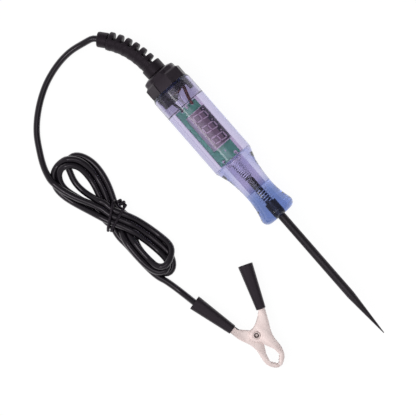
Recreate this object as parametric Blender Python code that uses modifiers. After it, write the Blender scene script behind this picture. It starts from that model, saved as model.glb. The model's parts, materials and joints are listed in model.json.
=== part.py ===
"""Automotive circuit tester: a voltmeter in a clear handle, with its probe, its tied cord and its clip.

The tester lies on its barrel. X runs along its axis toward the probe's tip, Z is up, and the origin is
at the middle of the tester's underside, without the cord. All sizes are in metres.
"""

import math

import bmesh
import bpy
from mathutils import Matrix, Vector

# Clearance between neighbouring pieces
SEAT_GAP = 0.0003

# Lengths along the tester's axis
CAP_LENGTH = 0.0100
HANDLE_LENGTH = 0.0880
PROBE_REACH = 0.0812

# Handle moulding, measured from its mouth
BARREL_RADIUS = 0.0116
BARREL_LENGTH = 0.0499
MOUTH_CHAMFER = 0.0006
MOUTH_CHAMFER_LENGTH = 0.0019
SHOULDER_LENGTH = 0.0071
NECK_RADIUS = 0.0091
WAIST_STATION = 0.0710
WAIST_RADIUS = 0.00775
BELL_RADIUS = 0.0099
BELL_FILLET = 0.0036
COUNTERBORE_RADIUS = 0.0103
COUNTERBORE_DEPTH = 0.0123
BORE_RADIUS = 0.0077
BORE_DEPTH = 0.0495
NECK_BORE_RADIUS = 0.0053
NECK_BORE_DEPTH = 0.0697
THREAD_DEPTH = 0.0798

# End cap
CAP_WALL = 0.0025
CAP_DOME_LENGTH = 0.0017
CAP_STEP_LENGTH = 0.0015
CAP_CHAMFER_LENGTH = 0.0010
CAP_RING_RADIUS = 0.0111
CAP_DOME_RADIUS = 0.0095
CAP_REAR_RADIUS = 0.0059
CAP_FLATS = 8
CAP_FLAT_DEPTH = 0.00062
CAP_FLAT_TURN = math.radians(10.0)
PLUG_LENGTH = 0.0047
PLUG_WALL = 0.0020
PRONG_LENGTH = 0.0034
PRONG_WIDTH = 0.0052
PRONG_THICKNESS = 0.0018
PRONG_ROOT = 0.0016
PRONG_EDGE = 0.0003
PRONG_COUNT = 3
PRONG_TURN = math.radians(-74.4)

# Strain relief
BOOT_NECK_RADIUS = 0.0033
BOOT_COLLAR_RADIUS = 0.0052
BOOT_COLLAR_LENGTH = 0.0014
BOOT_BASE_RADIUS = 0.00565
BOOT_BASE_LENGTH = 0.0053
BOOT_RIB_COUNT = 6
BOOT_RIB_WIDTH = 0.0024
BOOT_RIB_GAP = 0.0019
BOOT_RIB_RADIUS = 0.0050
BOOT_RIB_CHAMFER = 0.0005
BOOT_CORE_RADIUS = 0.00285
BOOT_CORE_OFFSET = 0.00195
BOOT_SPINDLE_RADIUS = 0.0006
FERRULE_GAP = 0.0007
FERRULE_LENGTH = 0.0056
FERRULE_RADIUS = 0.0041
FERRULE_ROUND = 0.0012

# Probe
PROBE_RADIUS = 0.0022
PROBE_THREAD_RADIUS = 0.00245
PROBE_REAR_RADIUS = 0.0020
PROBE_REAR_LENGTH = 0.0067
PROBE_REAR_ROUND = 0.0007
PROBE_TAPER_LENGTH = 0.0264
PROBE_TIP_RADIUS = 0.00022

# Circuit board and what sits on it, in a frame rolled about the tester's axis
INSIDE_ROLL = math.radians(17.0)
BOARD_LENGTH = 0.0362
BOARD_TOP = -0.0006
BOARD_THICKNESS = 0.0012
DISPLAY_LENGTH = 0.0224
DISPLAY_WIDTH = 0.0098
DISPLAY_START = 0.0053
PIN_RADIUS = 0.0003
PIN_HOLE_RADIUS = 0.00062
PIN_PITCH = 0.00254
PIN_ROWS = 6
PIN_ROW_SPACING = 0.0076
PIN_REACH = 0.0008
PIN_STEPS = 8
PAD_SETBACK = 0.0014
CHIP_EDGE = 0.00012
CHIP_LENGTH = 0.0087
CHIP_WIDTH = 0.0039
CHIP_HEIGHT = 0.0015
REGULATOR_LENGTH = 0.0045
REGULATOR_WIDTH = 0.0026
REGULATOR_HEIGHT = 0.0015
REGULATOR_PLACE = (0.0068, -0.0012)
DIODE_LENGTH = 0.0043
DIODE_WIDTH = 0.0026
DIODE_HEIGHT = 0.0021
DIODE_PLACE = (0.0030, 0.0036)
CAPACITOR_LENGTH = 0.0032
CAPACITOR_WIDTH = 0.0016
CAPACITOR_HEIGHT = 0.0016
CAPACITOR_SETBACK = 0.0066
RESISTOR_LENGTH = 0.0020
RESISTOR_WIDTH = 0.00125
RESISTOR_HEIGHT = 0.0006
RESISTOR_COUNT = 3
RESISTOR_PITCH = 0.0026
RESISTOR_SETBACK = 0.0030

# Contact spring
SPRING_WIRE_RADIUS = 0.0003
SPRING_WIDE_RADIUS = 0.0044
SPRING_BODY_RADIUS = 0.0022
SPRING_END_RADIUS = 0.0013
SPRING_WIDE_LENGTH = 0.0022
SPRING_WIDE_TURNS = 1.5
SPRING_TURNS = 10
SPRING_LEG = 0.0019

# Leads between the cord and the board
CORE_RADIUS = 0.0015
CORE_LENGTH = 0.0036
LEAD_RADIUS = 0.0006
LEAD_SPACING = 0.0016

# Each lead: its colour, its route from the cord's end in the board's frame, and its pad's side
LEADS = (
    ("lead_brown", (0.10, 0.035, 0.025), (
        (0.0, 0.0008, 0.0),
        (0.0022, 0.0028, 0.0012),
        (0.0050, 0.0046, 0.0036),
        (0.0080, 0.0030, 0.0046),
        (0.0108, 0.0022, 0.0030),
    ), 0.0036),
    ("lead_white", (0.72, 0.70, 0.68), (
        (0.0, -0.0008, 0.0006),
        (0.0030, -0.0022, 0.0014),
        (0.0070, -0.0030, 0.0020),
        (0.0112, -0.0020, 0.0012),
    ), -0.0002),
    ("lead_black", (0.03, 0.025, 0.03), (
        (0.0, -0.0002, -0.0009),
        (0.0026, -0.0040, -0.0006),
        (0.0056, -0.0052, 0.0006),
        (0.0104, -0.0046, 0.0008),
    ), -0.0034),
)

# Cord, its hank and its tie
CORD_RADIUS = 0.00175
CORD_HEIGHT = 0.0018
CORD_SPACING = 0.0080
HANK_HEIGHT = 0.0080
TIE_RADIUS = 0.00055
TIE_STATION = -0.0485
TIE_PITCH = 0.0017
TIE_TURNS = 2
WAIST_UPPER = -0.0597
WAIST_LOWER = -0.0715
TIE_SQUARENESS = 14
KNOB_LENGTH = 0.0052
KNOB_RADIUS = 0.0014

# Clip, with its pivot as the origin of its own frame
PIVOT = (0.0472, -0.0508)
CLIP_HEIGHT = 0.0050
CLIP_TURN = math.radians(-5.1)
SHEET = 0.0007
JAW_HALF_WIDTH = 0.0040
NARROW_HALF_WIDTH = 0.0030
JOGGLE_START = -0.0090
JOGGLE_END = -0.0060
LUG_RADIUS = 0.0037
INNER_LUG_RADIUS = 0.0034
RIVET_RADIUS = 0.0013
RIVET_HEAD_RADIUS = 0.00185
RIVET_HEAD_HEIGHT = 0.0006
NOSE_REACH = 0.0204
NOSE_LIP = 0.0017
EDGE_SPACING = 0.0013
TOOTH_COUNT = 3
TOOTH_DEPTH = 0.0004
HANDLE_HALF_FRONT = 0.0017
HANDLE_HALF_REAR = 0.0024
HANDLE_INSIDE = 0.0180
SLEEVE_LENGTH = 0.0242
SLEEVE_HALF_FRONT = 0.00255
SLEEVE_HALF_REAR = 0.00395
SLEEVE_WALL = 0.00045
SLEEVE_HALF_DEPTH = 0.0050
SLEEVE_SQUARENESS = 4.5
SLEEVE_BORE_SQUARENESS = 9.0
TORSION_WIRE_RADIUS = 0.0004
TORSION_COIL_RADIUS = 0.0022
TORSION_TURNS = 2
TORSION_LEG_SHARE = 0.3
CLIP_WIRE_RADIUS = 0.00085
CLIP_WIRE_SHIFT = 0.00095
CLIP_WIRE_RISE = 0.0009
CLIP_WIRE_STUB = 0.0026

# Facets of round pieces, of arcs and of one turn of a wire
FINE_STEPS = 40
SMALL_STEPS = 18
ARC_STEPS = 5
WIRE_STEPS = 10
TIE_STEPS = 16

# Stations along X
REAR_X = -(CAP_LENGTH + HANDLE_LENGTH + PROBE_REACH) / 2
MOUTH_X = REAR_X + CAP_LENGTH
NOSE_X = MOUTH_X + HANDLE_LENGTH
TIP_X = NOSE_X + PROBE_REACH
BOARD_FRONT_X = MOUTH_X + BORE_DEPTH - SEAT_GAP
BOARD_REAR_X = BOARD_FRONT_X - BOARD_LENGTH
PROBE_REAR_X = MOUTH_X + NECK_BORE_DEPTH - PROBE_REAR_LENGTH
AXIS_HEIGHT = BARREL_RADIUS

# Sizes that follow from their neighbours
PLUG_RADIUS = COUNTERBORE_RADIUS - SEAT_GAP
PLUG_BORE_RADIUS = PLUG_RADIUS - PLUG_WALL
BOARD_UNDER = BOARD_TOP - BOARD_THICKNESS
BOARD_HALF_WIDTH = math.sqrt((BORE_RADIUS - SEAT_GAP) ** 2 - BOARD_UNDER ** 2)
DISPLAY_TOP = math.sqrt((BORE_RADIUS - SEAT_GAP) ** 2 - (DISPLAY_WIDTH / 2) ** 2)

# Route of the cord from the strain relief to the hank, then from the hank to the clip
LEAD_ROUTE = (
    (-0.1270, -0.0190, 0.0058),
    (-0.1286, -0.0263, 0.0042),
    (-0.1280, -0.0355, 0.0027),
    (-0.1250, -0.0458, CORD_HEIGHT),
    (-0.1202, -0.0546, CORD_HEIGHT),
    (-0.1142, -0.0624, CORD_HEIGHT),
    (-0.1073, -0.0689, CORD_HEIGHT),
    (-0.1000, -0.0735, CORD_HEIGHT),
    (-0.0901, -0.0772, CORD_HEIGHT),
)
TAIL_ROUTE = (
    (-0.0058, -0.0686, CORD_HEIGHT),
    (0.0015, -0.0668, CORD_HEIGHT),
    (0.0070, -0.0655, 0.0026),
    (0.0120, -0.0641, 0.0040),
)

# Outer shape of the tied hank, anticlockwise from the waist's upper side
HANK_OUTLINE = (
    (-0.0520, WAIST_UPPER),
    (-0.0674, -0.0561),
    (-0.0771, -0.0545),
    (-0.0854, -0.0577),
    (-0.0899, -0.0646),
    (-0.0898, -0.0723),
    (-0.0868, -0.0778),
    (-0.0784, -0.0799),
    (-0.0697, -0.0778),
    (-0.0600, -0.0740),
    (-0.0520, WAIST_LOWER),
    (-0.0450, WAIST_LOWER),
    (-0.0345, -0.0700),
    (-0.0232, -0.0712),
    (-0.0116, -0.0700),
    (-0.0059, -0.0647),
    (-0.0064, -0.0589),
    (-0.0139, -0.0524),
    (-0.0193, -0.0515),
    (-0.0311, -0.0539),
    (-0.0450, WAIST_UPPER),
)

# Guide of the bent strain relief: its two ends and its two handles
BOOT_START = Vector((REAR_X, 0.0, AXIS_HEIGHT))
BOOT_REACH = Vector((-0.0339, -0.0118, -0.0042))
BOOT_START_HANDLE = Vector((-0.0160, 0.0, 0.0))
BOOT_END_HANDLE = Vector((0.0088, 0.0080, 0.0012))

# Edges of the two jaws, in the clip's frame, from the sleeve to the nose and back
MOVING_SLEEVE = (-0.00975, 0.01005, math.radians(163.8))
FIXED_SLEEVE = (-0.00970, -0.00855, math.radians(198.4))
MEETING_LINE = 0.0006
MOVING_OUTER = (
    (-0.0085, 0.0117),
    (-0.0027, 0.0096),
    (0.0027, 0.0075),
    (0.0071, 0.0068),
    (0.0128, 0.0070),
    (0.0168, 0.0058),
    (0.0190, 0.0037),
    (0.0202, 0.0019),
)
MOVING_INNER = ((0.0149, 0.0038), (0.0111, 0.0033), (0.0074, 0.0011), (0.0042, -0.0002))
MOVING_NECK = ((-0.0049, 0.0031), (-0.0069, 0.0058), (-0.0092, 0.0081))
FIXED_OUTER = (
    (-0.0091, -0.0102),
    (-0.0036, -0.0087),
    (0.0022, -0.0057),
    (0.0069, -0.0046),
    (0.0124, -0.0050),
    (0.0163, -0.0044),
    (0.0190, -0.0025),
    (0.0202, -0.0007),
)
FIXED_INNER = ((0.0154, -0.0023), (0.0110, -0.0016), (0.0068, 0.0002))
FIXED_NECK = ((-0.0057, -0.0038), (-0.0078, -0.0062), (-0.0098, -0.0067))


def clear_scene():
    """Removes what the scene holds, and makes the part's and the cutters' collections."""
    for old in list(bpy.data.objects):
        bpy.data.objects.remove(old)
    folders = []
    for name in ("circuit_tester", "cutters_and_guides"):
        folder = bpy.data.collections.new(name)
        bpy.context.scene.collection.children.link(folder)
        folders.append(folder)
    return folders


PARTS, HELPERS = clear_scene()


def paint(obj, colour, roughness, metallic=0.0):
    """Gives a piece its own Principled material."""
    material = bpy.data.materials.new(obj.name)
    material.use_nodes = True
    shader = material.node_tree.nodes["Principled BSDF"]
    shader.inputs["Base Color"].default_value = (*colour, 1.0)
    shader.inputs["Roughness"].default_value = roughness
    shader.inputs["Metallic"].default_value = metallic
    obj.data.materials.append(material)


def add(name, data, helper=False):
    """Makes an object of a mesh or a curve, as a piece or as a helper."""
    obj = bpy.data.objects.new(name, data)
    (HELPERS if helper else PARTS).objects.link(obj)
    if helper:
        obj.hide_render = True
        obj.display_type = 'WIRE'
    return obj


def frame_empty(name, location, rotation, parent=None):
    """Makes an empty that carries the pieces of one local frame."""
    obj = bpy.data.objects.new(name, None)
    HELPERS.objects.link(obj)
    obj.location = location
    obj.rotation_euler = rotation
    obj.parent = parent
    return obj


def smooth(mesh, angle=math.radians(35.0)):
    """Shades a mesh smooth between its sharp edges."""
    mesh.shade_smooth()
    mesh.set_sharp_from_angle(angle=angle)


def turned(name, profile, steps, closed=True, helper=False):
    """Turns (station, radius) points about the tester's axis. The outer side comes first, tip to rear."""
    mesh = bpy.data.meshes.new(name)
    points = [(radius, 0.0, station) for station, radius in profile]
    edges = [(i, i + 1) for i in range(len(points) - 1)]
    if closed:
        edges.append((len(points) - 1, 0))
    mesh.from_pydata(points, edges, [])
    obj = add(name, mesh, helper)
    screw = obj.modifiers.new("turn", 'SCREW')
    screw.steps = steps
    screw.render_steps = steps
    screw.use_merge_vertices = True
    screw.merge_threshold = 0.000001
    obj.rotation_euler = (0.0, math.pi / 2, 0.0)
    obj.location = (0.0, 0.0, AXIS_HEIGHT)
    return obj


def mesh_object(name, build, helper=False):
    """Makes a piece of a mesh that a function builds."""
    mesh = bpy.data.meshes.new(name)
    bm = bmesh.new()
    build(bm)
    bmesh.ops.recalc_face_normals(bm, faces=bm.faces)
    bm.to_mesh(mesh)
    bm.free()
    return add(name, mesh, helper)


def block(name, low, high, helper=False, edge=0.0):
    """Makes a box between two corners, with its edges rounded by edge."""
    size = [b - a for a, b in zip(low, high)]
    centre = [(a + b) / 2 for a, b in zip(low, high)]

    def build(bm):
        place = Matrix.Translation(centre) @ Matrix.Diagonal((*size, 1.0))
        bmesh.ops.create_cube(bm, size=1.0, matrix=place)

    obj = mesh_object(name, build, helper)
    if edge:
        bevel = obj.modifiers.new("edges", 'BEVEL')
        bevel.width = edge
        bevel.segments = 1
        bevel.limit_method = 'ANGLE'
    return obj


def rod(bm, radius, start, end, steps):
    """Adds a capped cylinder between two points to a mesh."""
    start, end = Vector(start), Vector(end)
    turn = (end - start).to_track_quat('Z', 'Y').to_matrix().to_4x4()
    bmesh.ops.create_cone(
        bm, cap_ends=True, segments=steps, radius1=radius, radius2=radius,
        depth=(end - start).length, matrix=Matrix.Translation((start + end) / 2) @ turn)


def dome(name, centre, radii, helper=False):
    """Makes an ellipsoid."""

    def build(bm):
        place = Matrix.Translation(centre) @ Matrix.Diagonal((*radii, 1.0))
        bmesh.ops.create_uvsphere(bm, u_segments=16, v_segments=10, radius=1.0, matrix=place)

    return mesh_object(name, build, helper)


def combine(obj, tool, operation, own_crossings=False):
    """Adds a Boolean modifier."""
    modifier = obj.modifiers.new(operation.lower(), 'BOOLEAN')
    modifier.operation = operation
    modifier.object = tool
    modifier.solver = 'EXACT'
    modifier.use_self = own_crossings
    return modifier


def tube(name, points, radius, helper=False):
    """Makes a round wire or cord through points."""
    curve = bpy.data.curves.new(name, 'CURVE')
    curve.dimensions = '3D'
    curve.bevel_depth = radius
    curve.bevel_resolution = 2
    curve.use_fill_caps = True
    spline = curve.splines.new('POLY')
    spline.points.add(len(points) - 1)
    for point, place in zip(spline.points, points):
        point.co = (*place, 1.0)
    return add(name, curve, helper)


def outline_curve(name, points, half_thickness, smooth_edge=False):
    """Makes a flat outline, filled and thickened both ways along Z."""
    curve = bpy.data.curves.new(name, 'CURVE')
    curve.dimensions = '2D'
    curve.fill_mode = 'BOTH'
    curve.extrude = half_thickness
    if smooth_edge:
        curve.resolution_u = 5
        spline = curve.splines.new('BEZIER')
        spline.bezier_points.add(len(points) - 1)
        for knot, place in zip(spline.bezier_points, points):
            knot.co = (*place, 0.0)
            knot.handle_left_type = 'AUTO'
            knot.handle_right_type = 'AUTO'
    else:
        spline = curve.splines.new('POLY')
        spline.points.add(len(points) - 1)
        for point, place in zip(spline.points, points):
            point.co = (*place, 0.0, 1.0)
    spline.use_cyclic_u = True
    return add(name, curve)


def as_mesh(obj, helper=False):
    """Turns a curve object into a welded mesh object of the same name and place."""
    bpy.context.view_layer.update()
    evaluated = obj.evaluated_get(bpy.context.evaluated_depsgraph_get())
    mesh = bpy.data.meshes.new_from_object(evaluated)
    bm = bmesh.new()
    bm.from_mesh(mesh)
    bmesh.ops.remove_doubles(bm, verts=bm.verts, dist=0.000002)
    bmesh.ops.recalc_face_normals(bm, faces=bm.faces)
    bm.to_mesh(mesh)
    bm.free()
    name = obj.name
    place = obj.matrix_world.copy()
    bpy.data.objects.remove(obj)
    solid = add(name, mesh, helper)
    solid.matrix_world = place
    solid.name = name
    return solid


def outline_solid(name, points, half_thickness, smooth_edge=False, helper=False):
    """Makes a closed solid of a flat outline."""
    return as_mesh(outline_curve(name, points, half_thickness, smooth_edge), helper)


def arc(centre, radius, start, end, count):
    """Points along an arc, both ends included."""
    points = []
    for i in range(count + 1):
        angle = start + (end - start) * i / count
        points.append((centre[0] + radius * math.cos(angle), centre[1] + radius * math.sin(angle)))
    return points


def smooth_route(points, spacing):
    """Evenly spaced points along a smooth curve through the route's own points."""
    knots = [Vector(p) for p in points]
    knots = [2 * knots[0] - knots[1], *knots, 2 * knots[-1] - knots[-2]]
    fine = []
    for before, start, end, after in zip(knots, knots[1:], knots[2:], knots[3:]):
        for i in range(16):
            t = i / 16
            pull = (end - before) * t + (2 * before - 5 * start + 4 * end - after) * t * t
            pull += (3 * start - before - 3 * end + after) * t ** 3
            fine.append(start + pull / 2)
    fine.append(knots[-2])
    lengths = [0.0]
    for start, end in zip(fine, fine[1:]):
        lengths.append(lengths[-1] + (end - start).length)
    count = max(2, round(lengths[-1] / spacing))
    route = []
    index = 0
    for i in range(count + 1):
        wanted = lengths[-1] * i / count
        while index < len(fine) - 2 and lengths[index + 1] < wanted:
            index += 1
        share = (wanted - lengths[index]) / (lengths[index + 1] - lengths[index])
        route.append(fine[index].lerp(fine[index + 1], share))
    return route


def squared(angle, exponent):
    """The divisor that turns a circle of radius one into a square with round corners."""
    return (abs(math.cos(angle)) ** exponent + abs(math.sin(angle)) ** exponent) ** (1 / exponent)


def inset_path(points, distance):
    """The points moved to the left of the path by a distance."""
    moved = []
    for i, point in enumerate(points):
        before = Vector(points[max(i - 1, 0)])
        after = Vector(points[min(i + 1, len(points) - 1)])
        along = (after - before).normalized()
        moved.append((point[0] - along.y * distance, point[1] + along.x * distance))
    return moved


def guide_place(share):
    """The place on the strain relief's guide at a share of its parameter."""
    ends = (BOOT_START, BOOT_START + BOOT_START_HANDLE,
            BOOT_START + BOOT_REACH + BOOT_END_HANDLE, BOOT_START + BOOT_REACH)
    weights = ((1 - share) ** 3, 3 * share * (1 - share) ** 2, 3 * share ** 2 * (1 - share), share ** 3)
    return sum((end * weight for end, weight in zip(ends, weights)), Vector())


def guide_end(length):
    """The place and the heading on the guide at a length from its start, straight on past its end."""
    steps = 400
    places = [guide_place(i / steps) for i in range(steps + 1)]
    walked = 0.0
    for start, end in zip(places, places[1:]):
        step = (end - start).length
        if walked + step >= length:
            return start.lerp(end, (length - walked) / step), (end - start).normalized()
        walked += step
    heading = (places[-1] - places[-2]).normalized()
    return places[-1] + heading * (length - walked), heading


def make_handle():
    """The clear moulding: barrel, shoulder, waist and bell outside, stepped bores inside."""
    fillet_x = NOSE_X - BELL_FILLET
    fillet_r = BELL_RADIUS - BELL_FILLET
    waist_x = MOUTH_X + WAIST_STATION
    rise = BELL_RADIUS - WAIST_RADIUS
    run = fillet_x - waist_x
    flare_radius = (rise ** 2 + run ** 2) / (2 * rise) - BELL_FILLET
    lean = math.asin(run / (flare_radius + BELL_FILLET))
    flare_centre = (waist_x, WAIST_RADIUS + flare_radius)
    neck_x = MOUTH_X + BARREL_LENGTH + SHOULDER_LENGTH
    drop = NECK_RADIUS - WAIST_RADIUS
    neck_run = waist_x - neck_x
    neck_arc = (neck_run ** 2 + drop ** 2) / (2 * drop)
    neck_lean = math.asin(neck_run / neck_arc)
    hole = PROBE_RADIUS + SEAT_GAP
    thread_hole = PROBE_THREAD_RADIUS + SEAT_GAP
    profile = [(NOSE_X, hole)]
    profile += arc((fillet_x, fillet_r), BELL_FILLET, 0.0, math.pi / 2 + lean, ARC_STEPS)
    profile += arc(flare_centre, flare_radius, lean - math.pi / 2, -math.pi / 2, ARC_STEPS)[1:]
    profile += arc((waist_x, WAIST_RADIUS + neck_arc), neck_arc,
                   -math.pi / 2, -math.pi / 2 - neck_lean, ARC_STEPS)[1:]
    profile += [
        (MOUTH_X + BARREL_LENGTH, BARREL_RADIUS),
        (MOUTH_X + MOUTH_CHAMFER_LENGTH, BARREL_RADIUS),
        (MOUTH_X, BARREL_RADIUS - MOUTH_CHAMFER),
        (MOUTH_X, COUNTERBORE_RADIUS),
        (MOUTH_X + COUNTERBORE_DEPTH, COUNTERBORE_RADIUS),
        (MOUTH_X + COUNTERBORE_DEPTH, BORE_RADIUS),
        (MOUTH_X + BORE_DEPTH, BORE_RADIUS),
        (MOUTH_X + BORE_DEPTH, NECK_BORE_RADIUS),
        (MOUTH_X + NECK_BORE_DEPTH, NECK_BORE_RADIUS),
        (MOUTH_X + NECK_BORE_DEPTH, thread_hole),
        (MOUTH_X + THREAD_DEPTH, thread_hole),
        (MOUTH_X + THREAD_DEPTH, hole),
    ]
    handle = turned("handle", profile, FINE_STEPS)
    paint(handle, (0.36, 0.42, 0.85), 0.08)


def make_end_cap():
    """The cap: a faceted dome and ring outside, a plug and its prongs inside the handle's mouth."""
    ring_front = MOUTH_X - SEAT_GAP
    chamfer_x = REAR_X + CAP_DOME_LENGTH + CAP_STEP_LENGTH
    ring_rear = chamfer_x + CAP_CHAMFER_LENGTH
    plug_front = MOUTH_X + PLUG_LENGTH
    neck_hole = BOOT_NECK_RADIUS + SEAT_GAP
    dome_width = CAP_DOME_RADIUS - CAP_REAR_RADIUS
    dome_edge = []
    for i in range(ARC_STEPS + 1):
        angle = math.pi / 2 * i / ARC_STEPS
        dome_edge.append((REAR_X + CAP_DOME_LENGTH * (1 - math.sin(angle)),
                          CAP_REAR_RADIUS + dome_width * math.cos(angle)))
    profile = [
        (plug_front, PLUG_RADIUS),
        (ring_front, PLUG_RADIUS),
        (ring_front, CAP_RING_RADIUS),
        (ring_rear, CAP_RING_RADIUS),
        (chamfer_x, CAP_DOME_RADIUS),
        *dome_edge,
        (REAR_X, neck_hole),
        (REAR_X + CAP_WALL, neck_hole),
        (REAR_X + CAP_WALL, PLUG_BORE_RADIUS),
        (plug_front, PLUG_BORE_RADIUS),
    ]
    cap = turned("end_cap", profile, FINE_STEPS)

    # Eight long flats on the ring and the dome, cut by a coarser turned form
    widen = 1 / math.cos(math.pi / CAP_FLATS)
    ring_flat = (CAP_RING_RADIUS - CAP_FLAT_DEPTH) * widen
    dome_flat = (CAP_DOME_RADIUS - CAP_FLAT_DEPTH) * widen
    beyond = CAP_RING_RADIUS * 2
    flats = turned("cap_flats", [
        (plug_front + CAP_LENGTH, 0.0),
        (plug_front + CAP_LENGTH, beyond),
        (ring_front, beyond),
        (ring_front, ring_flat),
        (ring_rear, ring_flat),
        (chamfer_x, dome_flat),
        (REAR_X + CAP_DOME_LENGTH, dome_flat),
        (REAR_X - CAP_DOME_LENGTH, dome_flat - dome_width),
        (REAR_X - CAP_DOME_LENGTH, 0.0),
    ], CAP_FLATS, closed=False, helper=True)
    flats.rotation_mode = 'QUATERNION'
    turn = Matrix.Rotation(CAP_FLAT_TURN, 4, 'X') @ Matrix.Rotation(math.pi / 2, 4, 'Y')
    flats.rotation_quaternion = turn.to_quaternion()
    combine(cap, flats, 'INTERSECT')

    # Prongs that guide the cap into the handle
    prong_low = PLUG_BORE_RADIUS
    for i in range(PRONG_COUNT):
        prong = block(f"prong_form_{i + 1}",
                      (plug_front - PRONG_ROOT, -PRONG_WIDTH / 2, prong_low),
                      (plug_front + PRONG_LENGTH, PRONG_WIDTH / 2, prong_low + PRONG_THICKNESS),
                      helper=True, edge=PRONG_EDGE)
        prong.location = (0.0, 0.0, AXIS_HEIGHT)
        prong.rotation_euler = (PRONG_TURN + 2 * math.pi * i / PRONG_COUNT, 0.0, 0.0)
        combine(cap, prong, 'UNION')
    paint(cap, (0.020, 0.020, 0.022), 0.42)


def make_strain_relief():
    """The ribbed strain relief, modelled straight and bent along its guide."""
    collar_front = CAP_WALL + SEAT_GAP + BOOT_COLLAR_LENGTH
    # Lengths grow away from the cap here, and the collar lies on the other side of zero
    profile = [
        (-collar_front, 0.0),
        (-collar_front, BOOT_COLLAR_RADIUS),
        (-CAP_WALL - SEAT_GAP, BOOT_COLLAR_RADIUS),
        (-CAP_WALL - SEAT_GAP, BOOT_NECK_RADIUS),
        (SEAT_GAP, BOOT_NECK_RADIUS),
        (SEAT_GAP, BOOT_BASE_RADIUS),
        (BOOT_BASE_LENGTH - BOOT_RIB_CHAMFER, BOOT_BASE_RADIUS),
        (BOOT_BASE_LENGTH, BOOT_BASE_RADIUS - BOOT_RIB_CHAMFER),
        (BOOT_BASE_LENGTH, BOOT_SPINDLE_RADIUS),
    ]
    at = BOOT_BASE_LENGTH
    for _ in range(BOOT_RIB_COUNT):
        at += BOOT_RIB_GAP
        profile += [
            (at, BOOT_SPINDLE_RADIUS),
            (at, BOOT_RIB_RADIUS - BOOT_RIB_CHAMFER),
            (at + BOOT_RIB_CHAMFER, BOOT_RIB_RADIUS),
            (at + BOOT_RIB_WIDTH - BOOT_RIB_CHAMFER, BOOT_RIB_RADIUS),
            (at + BOOT_RIB_WIDTH, BOOT_RIB_RADIUS - BOOT_RIB_CHAMFER),
            (at + BOOT_RIB_WIDTH, BOOT_SPINDLE_RADIUS),
        ]
        at += BOOT_RIB_WIDTH
    at += FERRULE_GAP
    end = at + FERRULE_LENGTH
    profile += [(at, BOOT_SPINDLE_RADIUS), (at, FERRULE_RADIUS)]
    profile += arc((end - FERRULE_ROUND, FERRULE_RADIUS - FERRULE_ROUND),
                   FERRULE_ROUND, math.pi / 2, 0.0, ARC_STEPS)
    profile.append((end, 0.0))

    mesh = bpy.data.meshes.new("strain_relief")
    points = [(radius, 0.0, -station) for station, radius in profile]
    mesh.from_pydata(points, [(i, i + 1) for i in range(len(points) - 1)], [])
    boot = add("strain_relief", mesh)
    screw = boot.modifiers.new("turn", 'SCREW')
    screw.steps = SMALL_STEPS
    screw.render_steps = SMALL_STEPS
    screw.use_merge_vertices = True
    screw.merge_threshold = 0.000001
    return boot, end


def bend_strain_relief(boot, end):
    """Joins the core to the ribs and bends the whole along the guide."""
    bpy.context.view_layer.update()
    turned_mesh = bpy.data.meshes.new_from_object(
        boot.evaluated_get(bpy.context.evaluated_depsgraph_get()))
    bpy.data.objects.remove(boot)
    bm = bmesh.new()
    bm.from_mesh(turned_mesh)
    bm.transform(Matrix.Rotation(-math.pi / 2, 4, 'Y'))
    bmesh.ops.remove_doubles(bm, verts=bm.verts, dist=0.000001)
    bm.to_mesh(turned_mesh)
    bm.free()
    straight = add("strain_relief", turned_mesh)
    straight.name = "strain_relief"

    def core(bm):
        rod(bm, BOOT_CORE_RADIUS, (BOOT_BASE_LENGTH / 2, BOOT_CORE_OFFSET, 0.0),
            (end - FERRULE_LENGTH / 2, BOOT_CORE_OFFSET, 0.0), SMALL_STEPS)

    core_form = mesh_object("core_form", core, helper=True)
    core_form.location = BOOT_START
    combine(straight, core_form, 'UNION')

    guide = bpy.data.curves.new("strain_relief_guide", 'CURVE')
    guide.dimensions = '3D'
    guide.resolution_u = 32
    guide.twist_mode = 'Z_UP'
    spline = guide.splines.new('BEZIER')
    spline.bezier_points.add(1)
    first, last = spline.bezier_points
    for knot in (first, last):
        knot.handle_left_type = 'FREE'
        knot.handle_right_type = 'FREE'
    first.co = (0.0, 0.0, 0.0)
    first.handle_left = -BOOT_START_HANDLE
    first.handle_right = BOOT_START_HANDLE
    last.co = BOOT_REACH
    last.handle_left = BOOT_REACH + BOOT_END_HANDLE
    last.handle_right = BOOT_REACH - BOOT_END_HANDLE
    guide_object = add("strain_relief_guide", guide, helper=True)
    guide_object.location = BOOT_START
    straight.location = BOOT_START
    bend = straight.modifiers.new("bend", 'CURVE')
    bend.object = guide_object
    bend.deform_axis = 'POS_X'
    paint(straight, (0.018, 0.018, 0.020), 0.5)


def make_probe():
    """The probe: a plain rear end, a threaded stretch, a straight shank and a long taper."""
    hole_rear = MOUTH_X + NECK_BORE_DEPTH + SEAT_GAP
    thread_front = MOUTH_X + THREAD_DEPTH - SEAT_GAP
    taper_x = TIP_X - PROBE_TAPER_LENGTH
    profile = [(TIP_X, 0.0), (TIP_X - PROBE_TIP_RADIUS, PROBE_TIP_RADIUS)]
    profile += [
        (taper_x, PROBE_RADIUS),
        (thread_front, PROBE_RADIUS),
        (thread_front, PROBE_THREAD_RADIUS),
        (hole_rear, PROBE_THREAD_RADIUS),
        (hole_rear, PROBE_REAR_RADIUS),
    ]
    rounded = arc((PROBE_REAR_X + PROBE_REAR_ROUND, PROBE_REAR_RADIUS - PROBE_REAR_ROUND),
                  PROBE_REAR_ROUND, math.pi / 2, math.pi, ARC_STEPS)
    profile += rounded
    profile.append((PROBE_REAR_X, 0.0))
    probe = turned("probe_rod", profile, SMALL_STEPS, closed=False)
    paint(probe, (0.022, 0.022, 0.024), 0.35, 0.6)


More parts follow.
